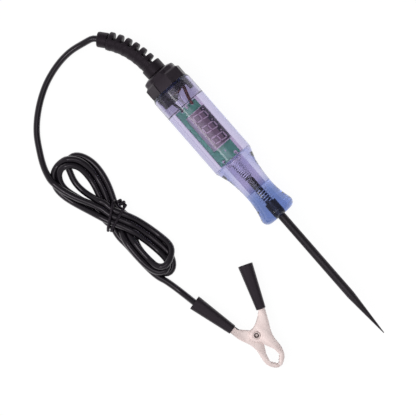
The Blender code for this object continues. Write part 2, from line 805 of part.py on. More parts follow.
def pin_places():
    """Where the display's pins pass through the board."""
    middle = BOARD_REAR_X + DISPLAY_START + DISPLAY_LENGTH / 2
    places = []
    for side in (-1, 1):
        for i in range(PIN_ROWS):
            places.append((middle + (i - (PIN_ROWS - 1) / 2) * PIN_PITCH, side * PIN_ROW_SPACING / 2))
    return places


def make_board(inside):
    """The circuit board with the display's pin holes and the lead pads' holes."""
    board = block("circuit_board", (BOARD_REAR_X, -BOARD_HALF_WIDTH, BOARD_UNDER),
                  (BOARD_FRONT_X, BOARD_HALF_WIDTH, BOARD_TOP))

    def holes(bm):
        for x, v in pin_places():
            rod(bm, PIN_HOLE_RADIUS, (x, v, BOARD_UNDER - BOARD_THICKNESS),
                (x, v, BOARD_TOP + BOARD_THICKNESS), PIN_STEPS)

    drill = mesh_object("pin_holes", holes, helper=True)
    combine(board, drill, 'DIFFERENCE')
    board.parent = inside
    drill.parent = inside
    paint(board, (0.02, 0.33, 0.20), 0.35)


def make_display(inside):
    """The three-digit module: its housing and its pins in the board."""
    start = BOARD_REAR_X + DISPLAY_START
    base = BOARD_TOP + SEAT_GAP
    display = block("display_module", (start, -DISPLAY_WIDTH / 2, base),
                    (start + DISPLAY_LENGTH, DISPLAY_WIDTH / 2, DISPLAY_TOP))
    paint(display, (0.55, 0.50, 0.52), 0.4)

    def pins(bm):
        for x, v in pin_places():
            rod(bm, PIN_RADIUS, (x, v, BOARD_UNDER - PIN_REACH), (x, v, base + PIN_REACH), PIN_STEPS)

    pin_form = mesh_object("pin_forms", pins, helper=True)
    combine(display, pin_form, 'UNION')
    display.parent = inside
    pin_form.parent = inside


def make_components(inside):
    """What the board carries on its back."""
    under = BOARD_UNDER - SEAT_GAP
    middle = BOARD_REAR_X + DISPLAY_START + DISPLAY_LENGTH / 2
    dark = (0.03, 0.03, 0.032)
    parts = [
        ("controller_chip", middle, 0.0, CHIP_LENGTH, CHIP_WIDTH, CHIP_HEIGHT, dark),
        ("regulator", BOARD_REAR_X + REGULATOR_PLACE[0], REGULATOR_PLACE[1],
         REGULATOR_LENGTH, REGULATOR_WIDTH, REGULATOR_HEIGHT, dark),
        ("input_diode", BOARD_REAR_X + DIODE_PLACE[0], DIODE_PLACE[1],
         DIODE_LENGTH, DIODE_WIDTH, DIODE_HEIGHT, dark),
        ("capacitor", BOARD_FRONT_X - CAPACITOR_SETBACK, 0.0,
         CAPACITOR_LENGTH, CAPACITOR_WIDTH, CAPACITOR_HEIGHT, (0.48, 0.33, 0.18)),
    ]
    for i in range(RESISTOR_COUNT):
        parts.append((f"resistor_{i + 1}", BOARD_FRONT_X - RESISTOR_SETBACK,
                      (i - (RESISTOR_COUNT - 1) / 2) * RESISTOR_PITCH,
                      RESISTOR_LENGTH, RESISTOR_WIDTH, RESISTOR_HEIGHT, dark))
    for name, x, v, length, width, height, colour in parts:
        part = block(name, (x - length / 2, v - width / 2, under - height),
                     (x + length / 2, v + width / 2, under), edge=CHIP_EDGE)
        part.parent = inside
        paint(part, colour, 0.45)


def make_spring(inside):
    """The contact spring: a leg on the board, a wide turn at its edge, then a body up to the probe."""
    start_x = BOARD_FRONT_X + SPRING_WIRE_RADIUS + SEAT_GAP
    end_x = PROBE_REAR_X - SEAT_GAP - SPRING_WIRE_RADIUS
    leg_height = BOARD_TOP + SEAT_GAP + SPRING_WIRE_RADIUS
    points = [(start_x - SPRING_LEG - SPRING_WIRE_RADIUS, SPRING_WIDE_RADIUS, leg_height)]
    for i in range(SPRING_TURNS * WIRE_STEPS + 1):
        turn = i / WIRE_STEPS
        wide = min(turn / SPRING_WIDE_TURNS, 1.0)
        body = max(turn - SPRING_WIDE_TURNS, 0.0) / (SPRING_TURNS - SPRING_WIDE_TURNS)
        x = start_x + SPRING_WIDE_LENGTH * wide + (end_x - start_x - SPRING_WIDE_LENGTH) * body
        widen = (1 + math.cos(math.pi * wide)) / 2
        narrow = max(0.0, turn - (SPRING_TURNS - 1))
        radius = SPRING_BODY_RADIUS + (SPRING_WIDE_RADIUS - SPRING_BODY_RADIUS) * widen
        radius += (SPRING_END_RADIUS - SPRING_BODY_RADIUS) * narrow
        angle = 2 * math.pi * turn
        points.append((x, radius * math.cos(angle), leg_height * widen + radius * math.sin(angle)))
    spring = tube("contact_spring", points, SPRING_WIRE_RADIUS)
    spring.parent = inside
    paint(spring, (0.75, 0.74, 0.72), 0.25, 1.0)


def make_leads(inside):
    """The end of the cord in the cap, and the three leads that run from it to the board."""
    collar_x = REAR_X + CAP_WALL + SEAT_GAP + BOOT_COLLAR_LENGTH
    core_start = collar_x + SEAT_GAP
    core_end = core_start + CORE_LENGTH

    def core(bm):
        rod(bm, CORE_RADIUS, (core_start, 0.0, 0.0), (core_end, 0.0, 0.0), SMALL_STEPS)

    stub = mesh_object("cord_end", core)
    stub.parent = inside
    paint(stub, (0.02, 0.02, 0.022), 0.5)

    start_x = core_end + SEAT_GAP
    rest = BOARD_TOP + SEAT_GAP + LEAD_RADIUS
    for name, colour, route, pad in LEADS:
        first, *others = [Vector((start_x + x, y, z)) for x, y, z in route]
        knots = [first + Vector((LEAD_RADIUS, 0.0, 0.0)), *others,
                 (BOARD_REAR_X - LEAD_RADIUS, pad, rest + LEAD_RADIUS / 2),
                 (BOARD_REAR_X + PAD_SETBACK, pad, rest)]
        lead = tube(name, [first, *smooth_route(knots, LEAD_SPACING)], LEAD_RADIUS)
        lead.parent = inside
        paint(lead, colour, 0.4)


def make_cord(boot_end):
    """The cord's plain solids: the lead, the tied hank and the tail into the clip's sleeve."""
    tip, heading = guide_end(boot_end)
    start = tip + heading * SEAT_GAP
    run = smooth_route([start + heading * CORD_RADIUS, *LEAD_ROUTE], CORD_SPACING)
    lead = tube("cable_lead", [start, *run], CORD_RADIUS)
    paint(lead, (0.018, 0.017, 0.020), 0.35)

    hank = outline_solid("cable_hank", HANK_OUTLINE, HANK_HEIGHT / 2, smooth_edge=True)
    hank.location.z = HANK_HEIGHT / 2
    room = TIE_RADIUS * 2 + SEAT_GAP * 2
    groove = block("tie_groove",
                   (TIE_STATION - TIE_PITCH * TIE_TURNS / 2 - room, WAIST_LOWER * 2, -room),
                   (TIE_STATION + TIE_PITCH * TIE_TURNS / 2 + room, 0.0, room), helper=True)
    combine(hank, groove, 'DIFFERENCE')
    paint(hank, (0.018, 0.017, 0.020), 0.35)

    u_end = HANDLE_INSIDE + SEAT_GAP * 2
    inside_end = clip_to_world(sleeve_place(FIXED_SLEEVE, u_end, 0.0))
    mouth = clip_to_world(sleeve_place(FIXED_SLEEVE, SLEEVE_LENGTH, 0.0))
    tail_points = [*TAIL_ROUTE, (*mouth, CLIP_HEIGHT), (*inside_end, CLIP_HEIGHT)]
    tail = tube("cable_tail", smooth_route(tail_points, CORD_SPACING), CORD_RADIUS)
    paint(tail, (0.018, 0.017, 0.020), 0.35)


def make_tie():
    """The wire tie: two turns round the hank's waist, and the twist that closes it."""
    half_y = (WAIST_UPPER - WAIST_LOWER) / 2 + TIE_RADIUS + SEAT_GAP * 2
    middle_y = (WAIST_UPPER + WAIST_LOWER) / 2
    low = TIE_RADIUS + SEAT_GAP / 3
    high = HANK_HEIGHT + TIE_RADIUS + SEAT_GAP
    half_z = (high - low) / 2
    points = []
    for i in range(TIE_TURNS * TIE_STEPS + 1):
        angle = math.pi / 4 + 2 * math.pi * i / TIE_STEPS
        square = squared(angle, TIE_SQUARENESS)
        x = TIE_STATION + TIE_PITCH * (i / TIE_STEPS - TIE_TURNS / 2)
        points.append((x, middle_y + half_y * math.cos(angle) / square,
                       low + half_z + half_z * math.sin(angle) / square))
    tie = as_mesh(tube("cable_tie", points, TIE_RADIUS))
    knob = dome("tie_twist", (TIE_STATION, middle_y + half_y + TIE_RADIUS / 2, high + TIE_RADIUS / 2),
                (KNOB_LENGTH / 2, KNOB_RADIUS, KNOB_RADIUS), helper=True)
    combine(tie, knob, 'UNION')
    paint(tie, (0.015, 0.015, 0.017), 0.5)


def sleeve_place(sleeve, back, aside):
    """A place in the clip's frame, measured back along a sleeve from its front and outward from its axis."""
    x, y, angle = sleeve
    outward = math.copysign(1.0, y)
    return (x + back * math.cos(angle) + aside * outward * math.sin(angle),
            y + back * math.sin(angle) - aside * outward * math.cos(angle))


def clip_to_world(place):
    """A place of the clip's frame, seen from above, in the tester's frame."""
    x, y = place
    return (PIVOT[0] + x * math.cos(CLIP_TURN) - y * math.sin(CLIP_TURN),
            PIVOT[1] + x * math.sin(CLIP_TURN) + y * math.cos(CLIP_TURN))


def toothed(start, end):
    """An edge between two points with a row of small teeth on it."""
    start, end = Vector(start), Vector(end)
    step = (end - start) / TOOTH_COUNT
    across = Vector((-step.y, step.x)).normalized() * TOOTH_DEPTH
    points = []
    for i in range(TOOTH_COUNT):
        points.append(tuple(start + step * i))
        points.append(tuple(start + step * (i + 0.5) + across))
    points.append(tuple(end))
    return points


def jaw_outer(sleeve, edge, meet):
    """The jaw's outer edge: the handle in its sleeve, the neck, the cheek and the nose."""
    rear = sleeve_place(sleeve, HANDLE_INSIDE, HANDLE_HALF_REAR)
    front = sleeve_place(sleeve, 0.0, HANDLE_HALF_FRONT)
    smooth_part = [tuple(p.xy) for p in smooth_route([(*p, 0.0) for p in edge], EDGE_SPACING)]
    return [rear, front, *smooth_part, (NOSE_REACH, meet)]


def jaw(name, sleeve, edge, inner, lug, neck, meet, widths):
    """One pressed jaw: a channel whose two cheeks carry the teeth and the lugs for the rivet."""
    outer = jaw_outer(sleeve, edge, meet)
    lip = sleeve_place(sleeve, 0.0, -HANDLE_HALF_FRONT)
    rear = sleeve_place(sleeve, HANDLE_INSIDE, -HANDLE_HALF_REAR)
    side = math.copysign(1.0, sleeve[1])
    lip_end = (NOSE_REACH - NOSE_LIP, meet)
    teeth = toothed(lip_end, inner[0])
    if side > 0:
        teeth = toothed(inner[0], lip_end)[::-1]
    outline = [*outer, *teeth, *inner[1:], *lug, *neck, lip, rear]
    solid = outline_solid(name, outline, JAW_HALF_WIDTH)

    wall = inset_path(outer, -SHEET * side)
    back_out = sleeve_place(sleeve, HANDLE_INSIDE * 1.2, HANDLE_HALF_REAR - SHEET)
    back_in = sleeve_place(sleeve, HANDLE_INSIDE * 1.2, -HANDLE_INSIDE * 1.5)
    nose_in = (wall[-1][0], -side * HANDLE_INSIDE)
    hollow = outline_solid(f"{name}_hollow", [back_out, *wall[:-1], (wall[-1][0], meet), nose_in, back_in],
                           JAW_HALF_WIDTH - SHEET, helper=True)
    for piece, base, narrow in zip((solid, hollow), (0.0, SHEET), widths):
        if narrow:
            joggle(piece, (narrow - base) / (JAW_HALF_WIDTH - base))
    combine(solid, hollow, 'DIFFERENCE')

    def hole(bm):
        rod(bm, RIVET_RADIUS + SEAT_GAP, (0.0, 0.0, -JAW_HALF_WIDTH * 2),
            (0.0, 0.0, JAW_HALF_WIDTH * 2), SMALL_STEPS)

    drill = mesh_object(f"{name}_rivet_hole", hole, helper=True)
    combine(solid, drill, 'DIFFERENCE')
    paint(solid, (0.78, 0.74, 0.72), 0.22, 1.0)
    return solid, hollow, drill


def joggle(piece, factor):
    """Narrows a jaw ahead of its joggle, so that it fits between the other jaw's cheeks."""
    bm = bmesh.new()
    bm.from_mesh(piece.data)
    for x in (JOGGLE_START, JOGGLE_END):
        bmesh.ops.bisect_plane(bm, geom=[*bm.verts, *bm.edges, *bm.faces], dist=0.0000001,
                               plane_co=(x, 0.0, 0.0), plane_no=(1.0, 0.0, 0.0))
    for vert in bm.verts:
        if vert.co.x > (JOGGLE_START + JOGGLE_END) / 2:
            vert.co.z *= factor
    bmesh.ops.triangulate(bm, faces=[f for f in bm.faces if len(f.verts) > 4])
    bm.to_mesh(piece.data)
    bm.free()


def sleeve(name, place, parent):
    """A soft sleeve with a rounded section, wider at its open rear end."""

    def shell(half_front, half_rear, half_depth, overrun, squareness):
        def build(bm):
            bmesh.ops.create_cone(bm, cap_ends=True, segments=32, radius1=1.0, radius2=1.0,
                                  depth=1.0, matrix=Matrix.Translation((0.0, 0.0, 0.5)))
            for vert in bm.verts:
                angle = math.atan2(vert.co.y, vert.co.x)
                square = squared(angle, squareness)
                back = SLEEVE_LENGTH + overrun if vert.co.z > 0.5 else -overrun
                slope = (half_rear - half_front) / SLEEVE_LENGTH
                half = half_front + slope * back
                vert.co = (back, half * math.cos(angle) / square, half_depth * math.sin(angle) / square)
        return build

    body = mesh_object(name, shell(SLEEVE_HALF_FRONT, SLEEVE_HALF_REAR, SLEEVE_HALF_DEPTH, 0.0,
                                   SLEEVE_SQUARENESS))
    bore = mesh_object(f"{name}_bore", shell(
        SLEEVE_HALF_FRONT - SLEEVE_WALL, SLEEVE_HALF_REAR - SLEEVE_WALL,
        JAW_HALF_WIDTH + SEAT_GAP, SLEEVE_WALL, SLEEVE_BORE_SQUARENESS), helper=True)
    combine(body, bore, 'DIFFERENCE')
    x, y, angle = place
    for piece in (body, bore):
        piece.parent = parent
        piece.location = (x, y, 0.0)
        piece.rotation_euler = (0.0, 0.0, angle)
    paint(body, (0.016, 0.015, 0.016), 0.55)


def tangent_angle(place, side):
    """The angle at which a wire from a place meets the torsion spring's coil."""
    reach = math.hypot(*place)
    return math.atan2(place[1], place[0]) + side * math.acos(TORSION_COIL_RADIUS / reach)


def make_clip():
    """The spring clip on the cord's end."""
    frame = frame_empty("clip_frame", (*PIVOT, CLIP_HEIGHT), (0.0, 0.0, CLIP_TURN))
    hinge = frame_empty("jaw_hinge", (0.0, 0.0, 0.0), (0.0, 0.0, 0.0), parent=frame)
    meet = SEAT_GAP / 2

    moving_lug = arc((0.0, 0.0), LUG_RADIUS, math.radians(-62.0), math.radians(-188.0), 12)
    moving = jaw("moving_jaw", MOVING_SLEEVE, MOVING_OUTER, MOVING_INNER, moving_lug, MOVING_NECK,
                 MEETING_LINE + meet, (0.0, 0.0))
    for piece in moving:
        piece.parent = hinge

    fixed_lug = arc((0.0, 0.0), INNER_LUG_RADIUS, math.radians(40.0), math.radians(195.0), 12)
    fixed = jaw("fixed_jaw", FIXED_SLEEVE, FIXED_OUTER, FIXED_INNER, fixed_lug, FIXED_NECK,
                MEETING_LINE - meet, (NARROW_HALF_WIDTH, NARROW_HALF_WIDTH))
    for piece in fixed:
        piece.parent = frame

    sleeve("sleeve_moving", MOVING_SLEEVE, hinge)
    sleeve("sleeve_fixed", FIXED_SLEEVE, frame)

    top = JAW_HALF_WIDTH + SEAT_GAP

    def rivet_form(bm):
        rod(bm, RIVET_RADIUS, (0.0, 0.0, -top - RIVET_HEAD_HEIGHT / 2),
            (0.0, 0.0, top + RIVET_HEAD_HEIGHT / 2), SMALL_STEPS)

    rivet = mesh_object("clip_rivet", rivet_form)
    rivet.parent = frame
    for side in (-1, 1):

        def head(bm, side=side):
            rod(bm, RIVET_HEAD_RADIUS, (0.0, 0.0, side * top),
                (0.0, 0.0, side * (top + RIVET_HEAD_HEIGHT)), SMALL_STEPS)

        head_form = mesh_object("rivet_head_form", head, helper=True)
        head_form.parent = frame
        combine(rivet, head_form, 'UNION')
    paint(rivet, (0.70, 0.68, 0.66), 0.3, 1.0)
    make_torsion_spring(frame)
    make_clip_wire(frame)


def leg_end(sleeve_frame, edge):
    """Where a leg of the torsion spring bears on the inside of a handle."""
    outward = math.copysign(1.0, sleeve_frame[1])
    start, end = Vector(edge[0]), Vector(edge[1])
    along = (end - start).normalized()
    inward = Vector((outward * along.y, -outward * along.x))
    return start.lerp(end, TORSION_LEG_SHARE) + inward * (SHEET + SEAT_GAP + TORSION_WIRE_RADIUS)


def make_torsion_spring(frame):
    """The spring on the rivet, with a leg against each handle."""
    moving_leg = leg_end(MOVING_SLEEVE, MOVING_OUTER)
    fixed_leg = leg_end(FIXED_SLEEVE, FIXED_OUTER)
    start = tangent_angle(moving_leg, -1)
    end = tangent_angle(fixed_leg, 1) - 2 * math.pi * (TORSION_TURNS + 1)
    steps = round((start - end) / (2 * math.pi) * WIRE_STEPS)
    pitch = TORSION_WIRE_RADIUS * 2 + SEAT_GAP / 2
    height = pitch * (start - end) / (2 * math.pi)
    points = [(*moving_leg, height / 2)]
    for i in range(steps + 1):
        angle = start + (end - start) * i / steps
        points.append((TORSION_COIL_RADIUS * math.cos(angle), TORSION_COIL_RADIUS * math.sin(angle),
                       height / 2 - height * i / steps))
    points.append((*fixed_leg, -height / 2))
    spring = tube("torsion_spring", points, TORSION_WIRE_RADIUS)
    spring.parent = frame
    paint(spring, (0.62, 0.60, 0.58), 0.3, 1.0)


def make_clip_wire(frame):
    """The cord's stripped wire, laid in the fixed jaw's handle and soldered ahead of the sleeve."""
    back = sleeve_place(FIXED_SLEEVE, HANDLE_INSIDE + SEAT_GAP, -CLIP_WIRE_SHIFT)
    front = sleeve_place(FIXED_SLEEVE, -CLIP_WIRE_STUB, -CLIP_WIRE_SHIFT)
    wire = tube("clip_wire", [(*back, CLIP_WIRE_RISE), (*front, CLIP_WIRE_RISE)], CLIP_WIRE_RADIUS)
    wire.parent = frame
    paint(wire, (0.02, 0.02, 0.022), 0.4)


make_handle()
make_end_cap()
RELIEF, RELIEF_LENGTH = make_strain_relief()
bend_strain_relief(RELIEF, RELIEF_LENGTH)
make_probe()
INSIDE = frame_empty("inside_frame", (0.0, 0.0, AXIS_HEIGHT), (-INSIDE_ROLL, 0.0, 0.0))
make_board(INSIDE)
make_display(INSIDE)
make_components(INSIDE)
make_spring(INSIDE)
make_leads(INSIDE)
make_cord(RELIEF_LENGTH)
make_tie()
make_clip()
for part in PARTS.objects:
    if part.type == 'MESH':
        smooth(part.data)
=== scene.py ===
"""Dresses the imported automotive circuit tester: a voltmeter in a clear handle, a probe, a tied cord and a clip.

Every size is in metres unless its name ends in MM, in the tester's own frame: X along its axis toward the
probe's tip, Z up, and the floor at Z = 0.
"""

import json
import math

import bmesh
import bpy
import numpy as np
from bpy.props import FloatProperty, FloatVectorProperty, IntProperty, PointerProperty
from mathutils import Matrix, Vector

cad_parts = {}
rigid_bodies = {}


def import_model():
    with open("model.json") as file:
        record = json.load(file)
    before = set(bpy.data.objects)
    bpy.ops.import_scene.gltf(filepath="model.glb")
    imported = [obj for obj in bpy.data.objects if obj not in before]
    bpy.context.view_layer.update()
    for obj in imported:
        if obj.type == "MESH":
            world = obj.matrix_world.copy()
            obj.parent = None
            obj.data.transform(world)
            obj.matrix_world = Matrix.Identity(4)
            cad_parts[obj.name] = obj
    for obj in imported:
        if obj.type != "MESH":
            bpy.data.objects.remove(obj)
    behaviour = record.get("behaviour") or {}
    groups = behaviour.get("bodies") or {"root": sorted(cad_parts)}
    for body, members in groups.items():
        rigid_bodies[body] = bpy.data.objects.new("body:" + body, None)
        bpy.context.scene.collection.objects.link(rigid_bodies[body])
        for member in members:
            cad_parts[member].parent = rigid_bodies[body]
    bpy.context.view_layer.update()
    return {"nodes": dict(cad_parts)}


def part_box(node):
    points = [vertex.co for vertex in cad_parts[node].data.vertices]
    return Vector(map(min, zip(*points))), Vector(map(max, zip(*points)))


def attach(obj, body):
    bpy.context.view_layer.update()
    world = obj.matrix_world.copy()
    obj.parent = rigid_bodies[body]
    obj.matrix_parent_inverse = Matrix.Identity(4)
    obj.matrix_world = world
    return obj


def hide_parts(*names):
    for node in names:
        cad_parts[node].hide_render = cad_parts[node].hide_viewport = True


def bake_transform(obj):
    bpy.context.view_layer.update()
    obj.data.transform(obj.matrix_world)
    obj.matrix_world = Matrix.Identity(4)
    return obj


bl_info = {
    "name": "Circuit Tester Dresser",
    "version": (1, 0, 0),
    "blender": (4, 5, 0),
    "location": "View3D > Sidebar > Tester",
    "description": "Builds the visible pieces and finishes of a hand-held circuit tester",
    "category": "Object",
}

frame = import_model()

MM = 0.001
ROOT = "tester"
JAW = "jaw"
FULL = 2 * math.pi

# The camera looks straight down on this point, turned as the photograph is
VIEW_CENTRE = (-0.01937, -0.02624, 0.010)
CAMERA_DISTANCE = 0.95
CAMERA_TURN = math.radians(48.9)
PICTURE_RIGHT = (0.657, 0.754)

# Stations along the axis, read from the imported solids
MOUTH_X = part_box("handle")[0].x
NOSE_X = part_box("handle")[1].x
BARREL_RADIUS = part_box("handle")[1].z / 2
AXIS = BARREL_RADIUS
REAR_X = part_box("end_cap")[0].x
TIP_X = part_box("probe_rod")[1].x
BOARD_REAR_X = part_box("circuit_board")[0].x
BOARD_FRONT_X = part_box("circuit_board")[1].x
PROBE_REAR_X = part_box("probe_rod")[0].x
ON_AXIS = Matrix.Translation((0.0, 0.0, AXIS))

# The inside pieces lie in a frame rolled about the axis
INSIDE_ROLL = math.radians(17.0)
INSIDE = ON_AXIS @ Matrix.Rotation(-INSIDE_ROLL, 4, 'X')
BOARD_TOP = -0.0006
BOARD_THICKNESS = 0.0012
BOARD_UNDER = BOARD_TOP - BOARD_THICKNESS

# The clip's frame: its rivet is the origin
CLIP_HEIGHT = 0.0050
CLIP = Matrix.Translation((0.0472, -0.0508, CLIP_HEIGHT)) @ Matrix.Rotation(math.radians(-5.1), 4, 'Z')

# Guide of the bent strain relief: its two ends and its two handles
BOOT_START = Vector((REAR_X, 0.0, AXIS))
BOOT_END = BOOT_START + Vector((-0.0339, -0.0118, -0.0042))
BOOT_HANDLE = BOOT_START + Vector((-0.0160, 0.0, 0.0))
BOOT_END_HANDLE = BOOT_END + Vector((0.0088, 0.0080, 0.0012))

# Tint of the gloss on the black plastics
BLACK_GLOSS = (1.0, 0.84, 1.0, 1.0)

# CAD meshes are loose triangles: corners this close are one corner
MERGE = 0.000002

# Rings of a spun shape meet to within this
SPIN_MERGE = 0.0000002

# The most that a rounded corner takes of a side, as a share of it
MOST_CUT = 0.48

# Points between two of a route's own points, before they are spaced evenly
FINE_STEPS = 16


class TesterSizes(bpy.types.PropertyGroup):
    """Sizes that a user may change before the pieces are made again."""

    cord_diameter: FloatProperty(
        name="Cord diameter", description="Outside diameter of the cord", default=0.0035,
        min=0.002, max=0.006, unit='LENGTH')
    rib_radius: FloatProperty(
        name="Rib radius", description="Outside radius of the strain relief's ribs", default=0.0050,
        min=0.004, max=0.0055, unit='LENGTH')
    plug_thread_turns: IntProperty(
        name="Plug thread turns", description="Turns of the cap's thread", default=3, min=1, max=4)
    probe_thread_pitch: FloatProperty(
        name="Probe thread pitch", description="Distance between the probe's thread turns",
        default=0.00155, min=0.0006, max=0.0018, unit='LENGTH')
    digit_height: FloatProperty(
        name="Digit height", description="Height of the display's digits", default=0.0074,
        min=0.005, max=0.008, unit='LENGTH')
    digit_slant: FloatProperty(
        name="Digit slant", description="Lean of the display's digits", default=math.radians(8.0),
        min=0.0, max=math.radians(15.0), subtype='ANGLE')
    frame_width: FloatProperty(
        name="Frame width", description="Width of the camera's view at the tester", default=0.2163,
        min=0.1, max=0.6, unit='LENGTH')


class TesterColours(bpy.types.PropertyGroup):
    """Base colours of the finishes."""

    cap: FloatVectorProperty(
        name="Cap", description="Satin black of the cap", subtype='COLOR', size=3,
        default=(0.0110, 0.0078, 0.0112))
    relief: FloatVectorProperty(
        name="Strain relief", description="Soft black of the strain relief", subtype='COLOR', size=3,
        default=(0.0100, 0.0072, 0.0098))
    cord: FloatVectorProperty(
        name="Cord", description="Black of the cord's sheath", subtype='COLOR', size=3,
        default=(0.0048, 0.0036, 0.0056))
    probe: FloatVectorProperty(
        name="Probe", description="Blackened steel of the probe", subtype='COLOR', size=3,
        default=(0.034, 0.029, 0.034))
    board: FloatVectorProperty(
        name="Board", description="Green of the circuit board", subtype='COLOR', size=3,
        default=(0.026, 0.580, 0.190))
    nickel: FloatVectorProperty(
        name="Nickel", description="Nickel plate of the jaws", subtype='COLOR', size=3,
        default=(1.0, 0.800, 0.770))
    sleeve: FloatVectorProperty(
        name="Sleeve", description="Black vinyl of the clip's sleeves", subtype='COLOR', size=3,
        default=(0.0150, 0.0120, 0.0148))


class Value:
    """A socket of a node, so that Python's operators add Math nodes."""

    def __init__(self, nodes, socket):
        self.nodes = nodes
        self.socket = socket

    def math(self, operation, *operands):
        inputs = dict(enumerate(operands))
        return self.nodes.node('ShaderNodeMath', {"operation": operation}, inputs)

    def __add__(self, other):
        return self.math('ADD', self, other)

    def __radd__(self, other):
        return self.math('ADD', other, self)

    def __sub__(self, other):
        return self.math('SUBTRACT', self, other)

    def __rsub__(self, other):
        return self.math('SUBTRACT', other, self)

    def __mul__(self, other):
        return self.math('MULTIPLY', self, other)

    def __rmul__(self, other):
        return self.math('MULTIPLY', other, self)

    def power(self, exponent):
        return self.math('POWER', self, exponent)

    def above(self, limit, softness):
        """Zero below a limit and one above it, with a soft step."""
        return self.nodes.node('ShaderNodeMapRange', {"interpolation_type": 'SMOOTHSTEP'}, {
            0: self, 1: limit - softness, 2: limit + softness, 3: 0.0, 4: 1.0})


class Nodes:
    """A node tree to which nodes are added by one method."""

    def __init__(self, tree):
        self.tree = tree

    def plug(self, value, socket):
        """Links a value or a socket to a socket, or sets its number, vector or colour."""
        if isinstance(value, Value):
            self.tree.links.new(value.socket, socket)
        elif isinstance(value, bpy.types.NodeSocket):
            self.tree.links.new(value, socket)
        elif socket.type == 'RGBA' and len(value) == 3:
            socket.default_value = (*value, 1.0)
        else:
            socket.default_value = value

    def node(self, kind, settings=None, inputs=None, output=0):
        """Adds a node: its settings first, then the values or links of its sockets."""
        made = self.tree.nodes.new(kind)
        for key, value in (settings or {}).items():
            setattr(made, key, value)
        for key, value in (inputs or {}).items():
            self.plug(value, made.inputs[key])
        return Value(self, made.outputs[output])

    def split(self, vector):
        """The three parts of a vector."""
        made = self.tree.nodes.new('ShaderNodeSeparateXYZ')
        self.plug(vector, made.inputs[0])
        return [Value(self, socket) for socket in made.outputs]

    def mix(self, factor, first, second):
        """A colour between two colours."""
        return self.node('ShaderNodeMix', {"data_type": 'RGBA'}, {0: factor, 6: first, 7: second}, output=2)

    def coordinates(self, scale=(1.0, 1.0, 1.0), turn=(0.0, 0.0, 0.0), place=(0.0, 0.0, 0.0)):
        """Object coordinates, centred at a place, turned and stretched."""
        at = self.node('ShaderNodeTexCoord', output="Object")
        centred = self.node('ShaderNodeVectorMath', {"operation": 'SUBTRACT'}, {0: at, 1: place})
        return self.node('ShaderNodeMapping', {"vector_type": 'POINT'},
                         {"Vector": centred, "Rotation": turn, "Scale": scale})

    def noise(self, size, detail=2.0, at=None):
        """A noise whose blotches are about size metres across."""
        return self.node('ShaderNodeTexNoise', None, {
            "Vector": at or self.coordinates(), "Scale": 1.0 / size, "Detail": detail})

    def surface(self, output, factor, first, second):
        """Mixes two shaders and links them to an output node's surface."""
        mixed = self.node('ShaderNodeMixShader', None, {0: factor, 1: first, 2: second})
        self.tree.links.new(mixed.socket, output.inputs["Surface"])


class Finish(Nodes):
    """Builds one material: a Principled shader, and the nodes that vary it over a surface."""

    def __init__(self, name, **constants):
        self.material = bpy.data.materials.new(name)
        self.material.use_nodes = True
        super().__init__(self.material.node_tree)
        self.shader = self.tree.nodes["Principled BSDF"]
        self.output = self.tree.nodes["Material Output"]
        for socket, value in constants.items():
            self.set(socket.replace("_", " "), value)

    def set(self, socket, value):
        """Sets or links a socket of the Principled shader."""
        self.plug(value, self.shader.inputs[socket])

    def vary(self, pattern, colour, dark, light):
        """Varies the base colour with a pattern, between a darker and a lighter tone of a colour."""
        self.set("Base Color", self.mix(pattern, scaled(colour, dark), scaled(colour, light)))

    def done(self, roughness, height, depth):
        """Sets the roughness and a bump of a depth in metres, and gives the finished material."""
        self.set("Roughness", roughness)
        self.set("Normal", self.node('ShaderNodeBump', None, {"Height": height, "Distance": depth}))
        return self.material


def scaled(colour, factor):
    """A colour made lighter or darker."""
    return tuple(min(1.0, part * factor) for part in colour)


def moulded(name, colour, roughness, grain=0.0004, grain_depth=0.00001, **constants):
    """Moulded plastic: a fine grain, faint flow marks, and gloss that varies with handling."""
    finish = Finish(name, **constants)
    flow = finish.noise(0.012, 3.0, finish.coordinates((0.35, 1.0, 1.0)))
    handled = finish.noise(0.005, 4.0)
    finish.vary(flow, colour, 0.80, 1.22)
    fine = finish.noise(grain, 1.0)
    return finish.done(roughness + (handled - 0.5) * 0.14, fine + handled * 0.4, grain_depth)


def clear_blue(name):
    """The clear handle: lilac where it is a wall, with a faint haze and handling marks; painted shade darkens its rim,
    its mouth and its shoulder and turns the solid bell deep blue.
    """
    finish = Finish(name, Transmission_Weight=1.0, IOR=1.49)
    along = finish.split(finish.coordinates(place=(MOUTH_X, 0.0, 0.0)))[0]
    # Base colour along the handle: the rim's tint, and from where, how softly and into which tint it changes along the
    # handle. All but the barrel's lilac is painted shade: the dark blue rim, the darker mouth, the shoulder and the
    # deep blue bell
    shade = (0.14, 0.17, 0.52)
    for start, softness, tint in (
            (0.0016, 0.0004, (0.560, 0.520, 0.660)),
            (COUNTERBORE_DEPTH, 0.0012, (0.735, 0.630, 0.735)),
            (SHOULDER_START + 0.001, 0.003, (0.640, 0.585, 0.745)),
            (WAIST_STATION - 0.002, 0.006, (0.245, 0.306, 0.517))):
        shade = finish.mix(along.above(start, softness), shade, tint)
    finish.set("Base Color", shade)
    marks = finish.noise(0.0022, 4.0, finish.coordinates((0.3, 1.0, 1.0)))
    finish.set("Roughness", 0.012 + marks.above(0.62, 0.05) * 0.04)
    tint = finish.node('ShaderNodeVolumeAbsorption', None,
                       {"Color": (0.12, 0.35, 0.85), "Density": 34.0}, output="Volume")
    finish.tree.links.new(tint.socket, finish.output.inputs["Volume"])
    # Lamps reach the inside through the wall
    shadow_ray = finish.node('ShaderNodeLightPath', output="Is Shadow Ray")
    passed = finish.node('ShaderNodeBsdfTransparent', None, {"Color": (0.78, 0.76, 0.90)})
    finish.surface(finish.output, shadow_ray * 0.9, finish.shader.outputs[0], passed)
    return finish.material


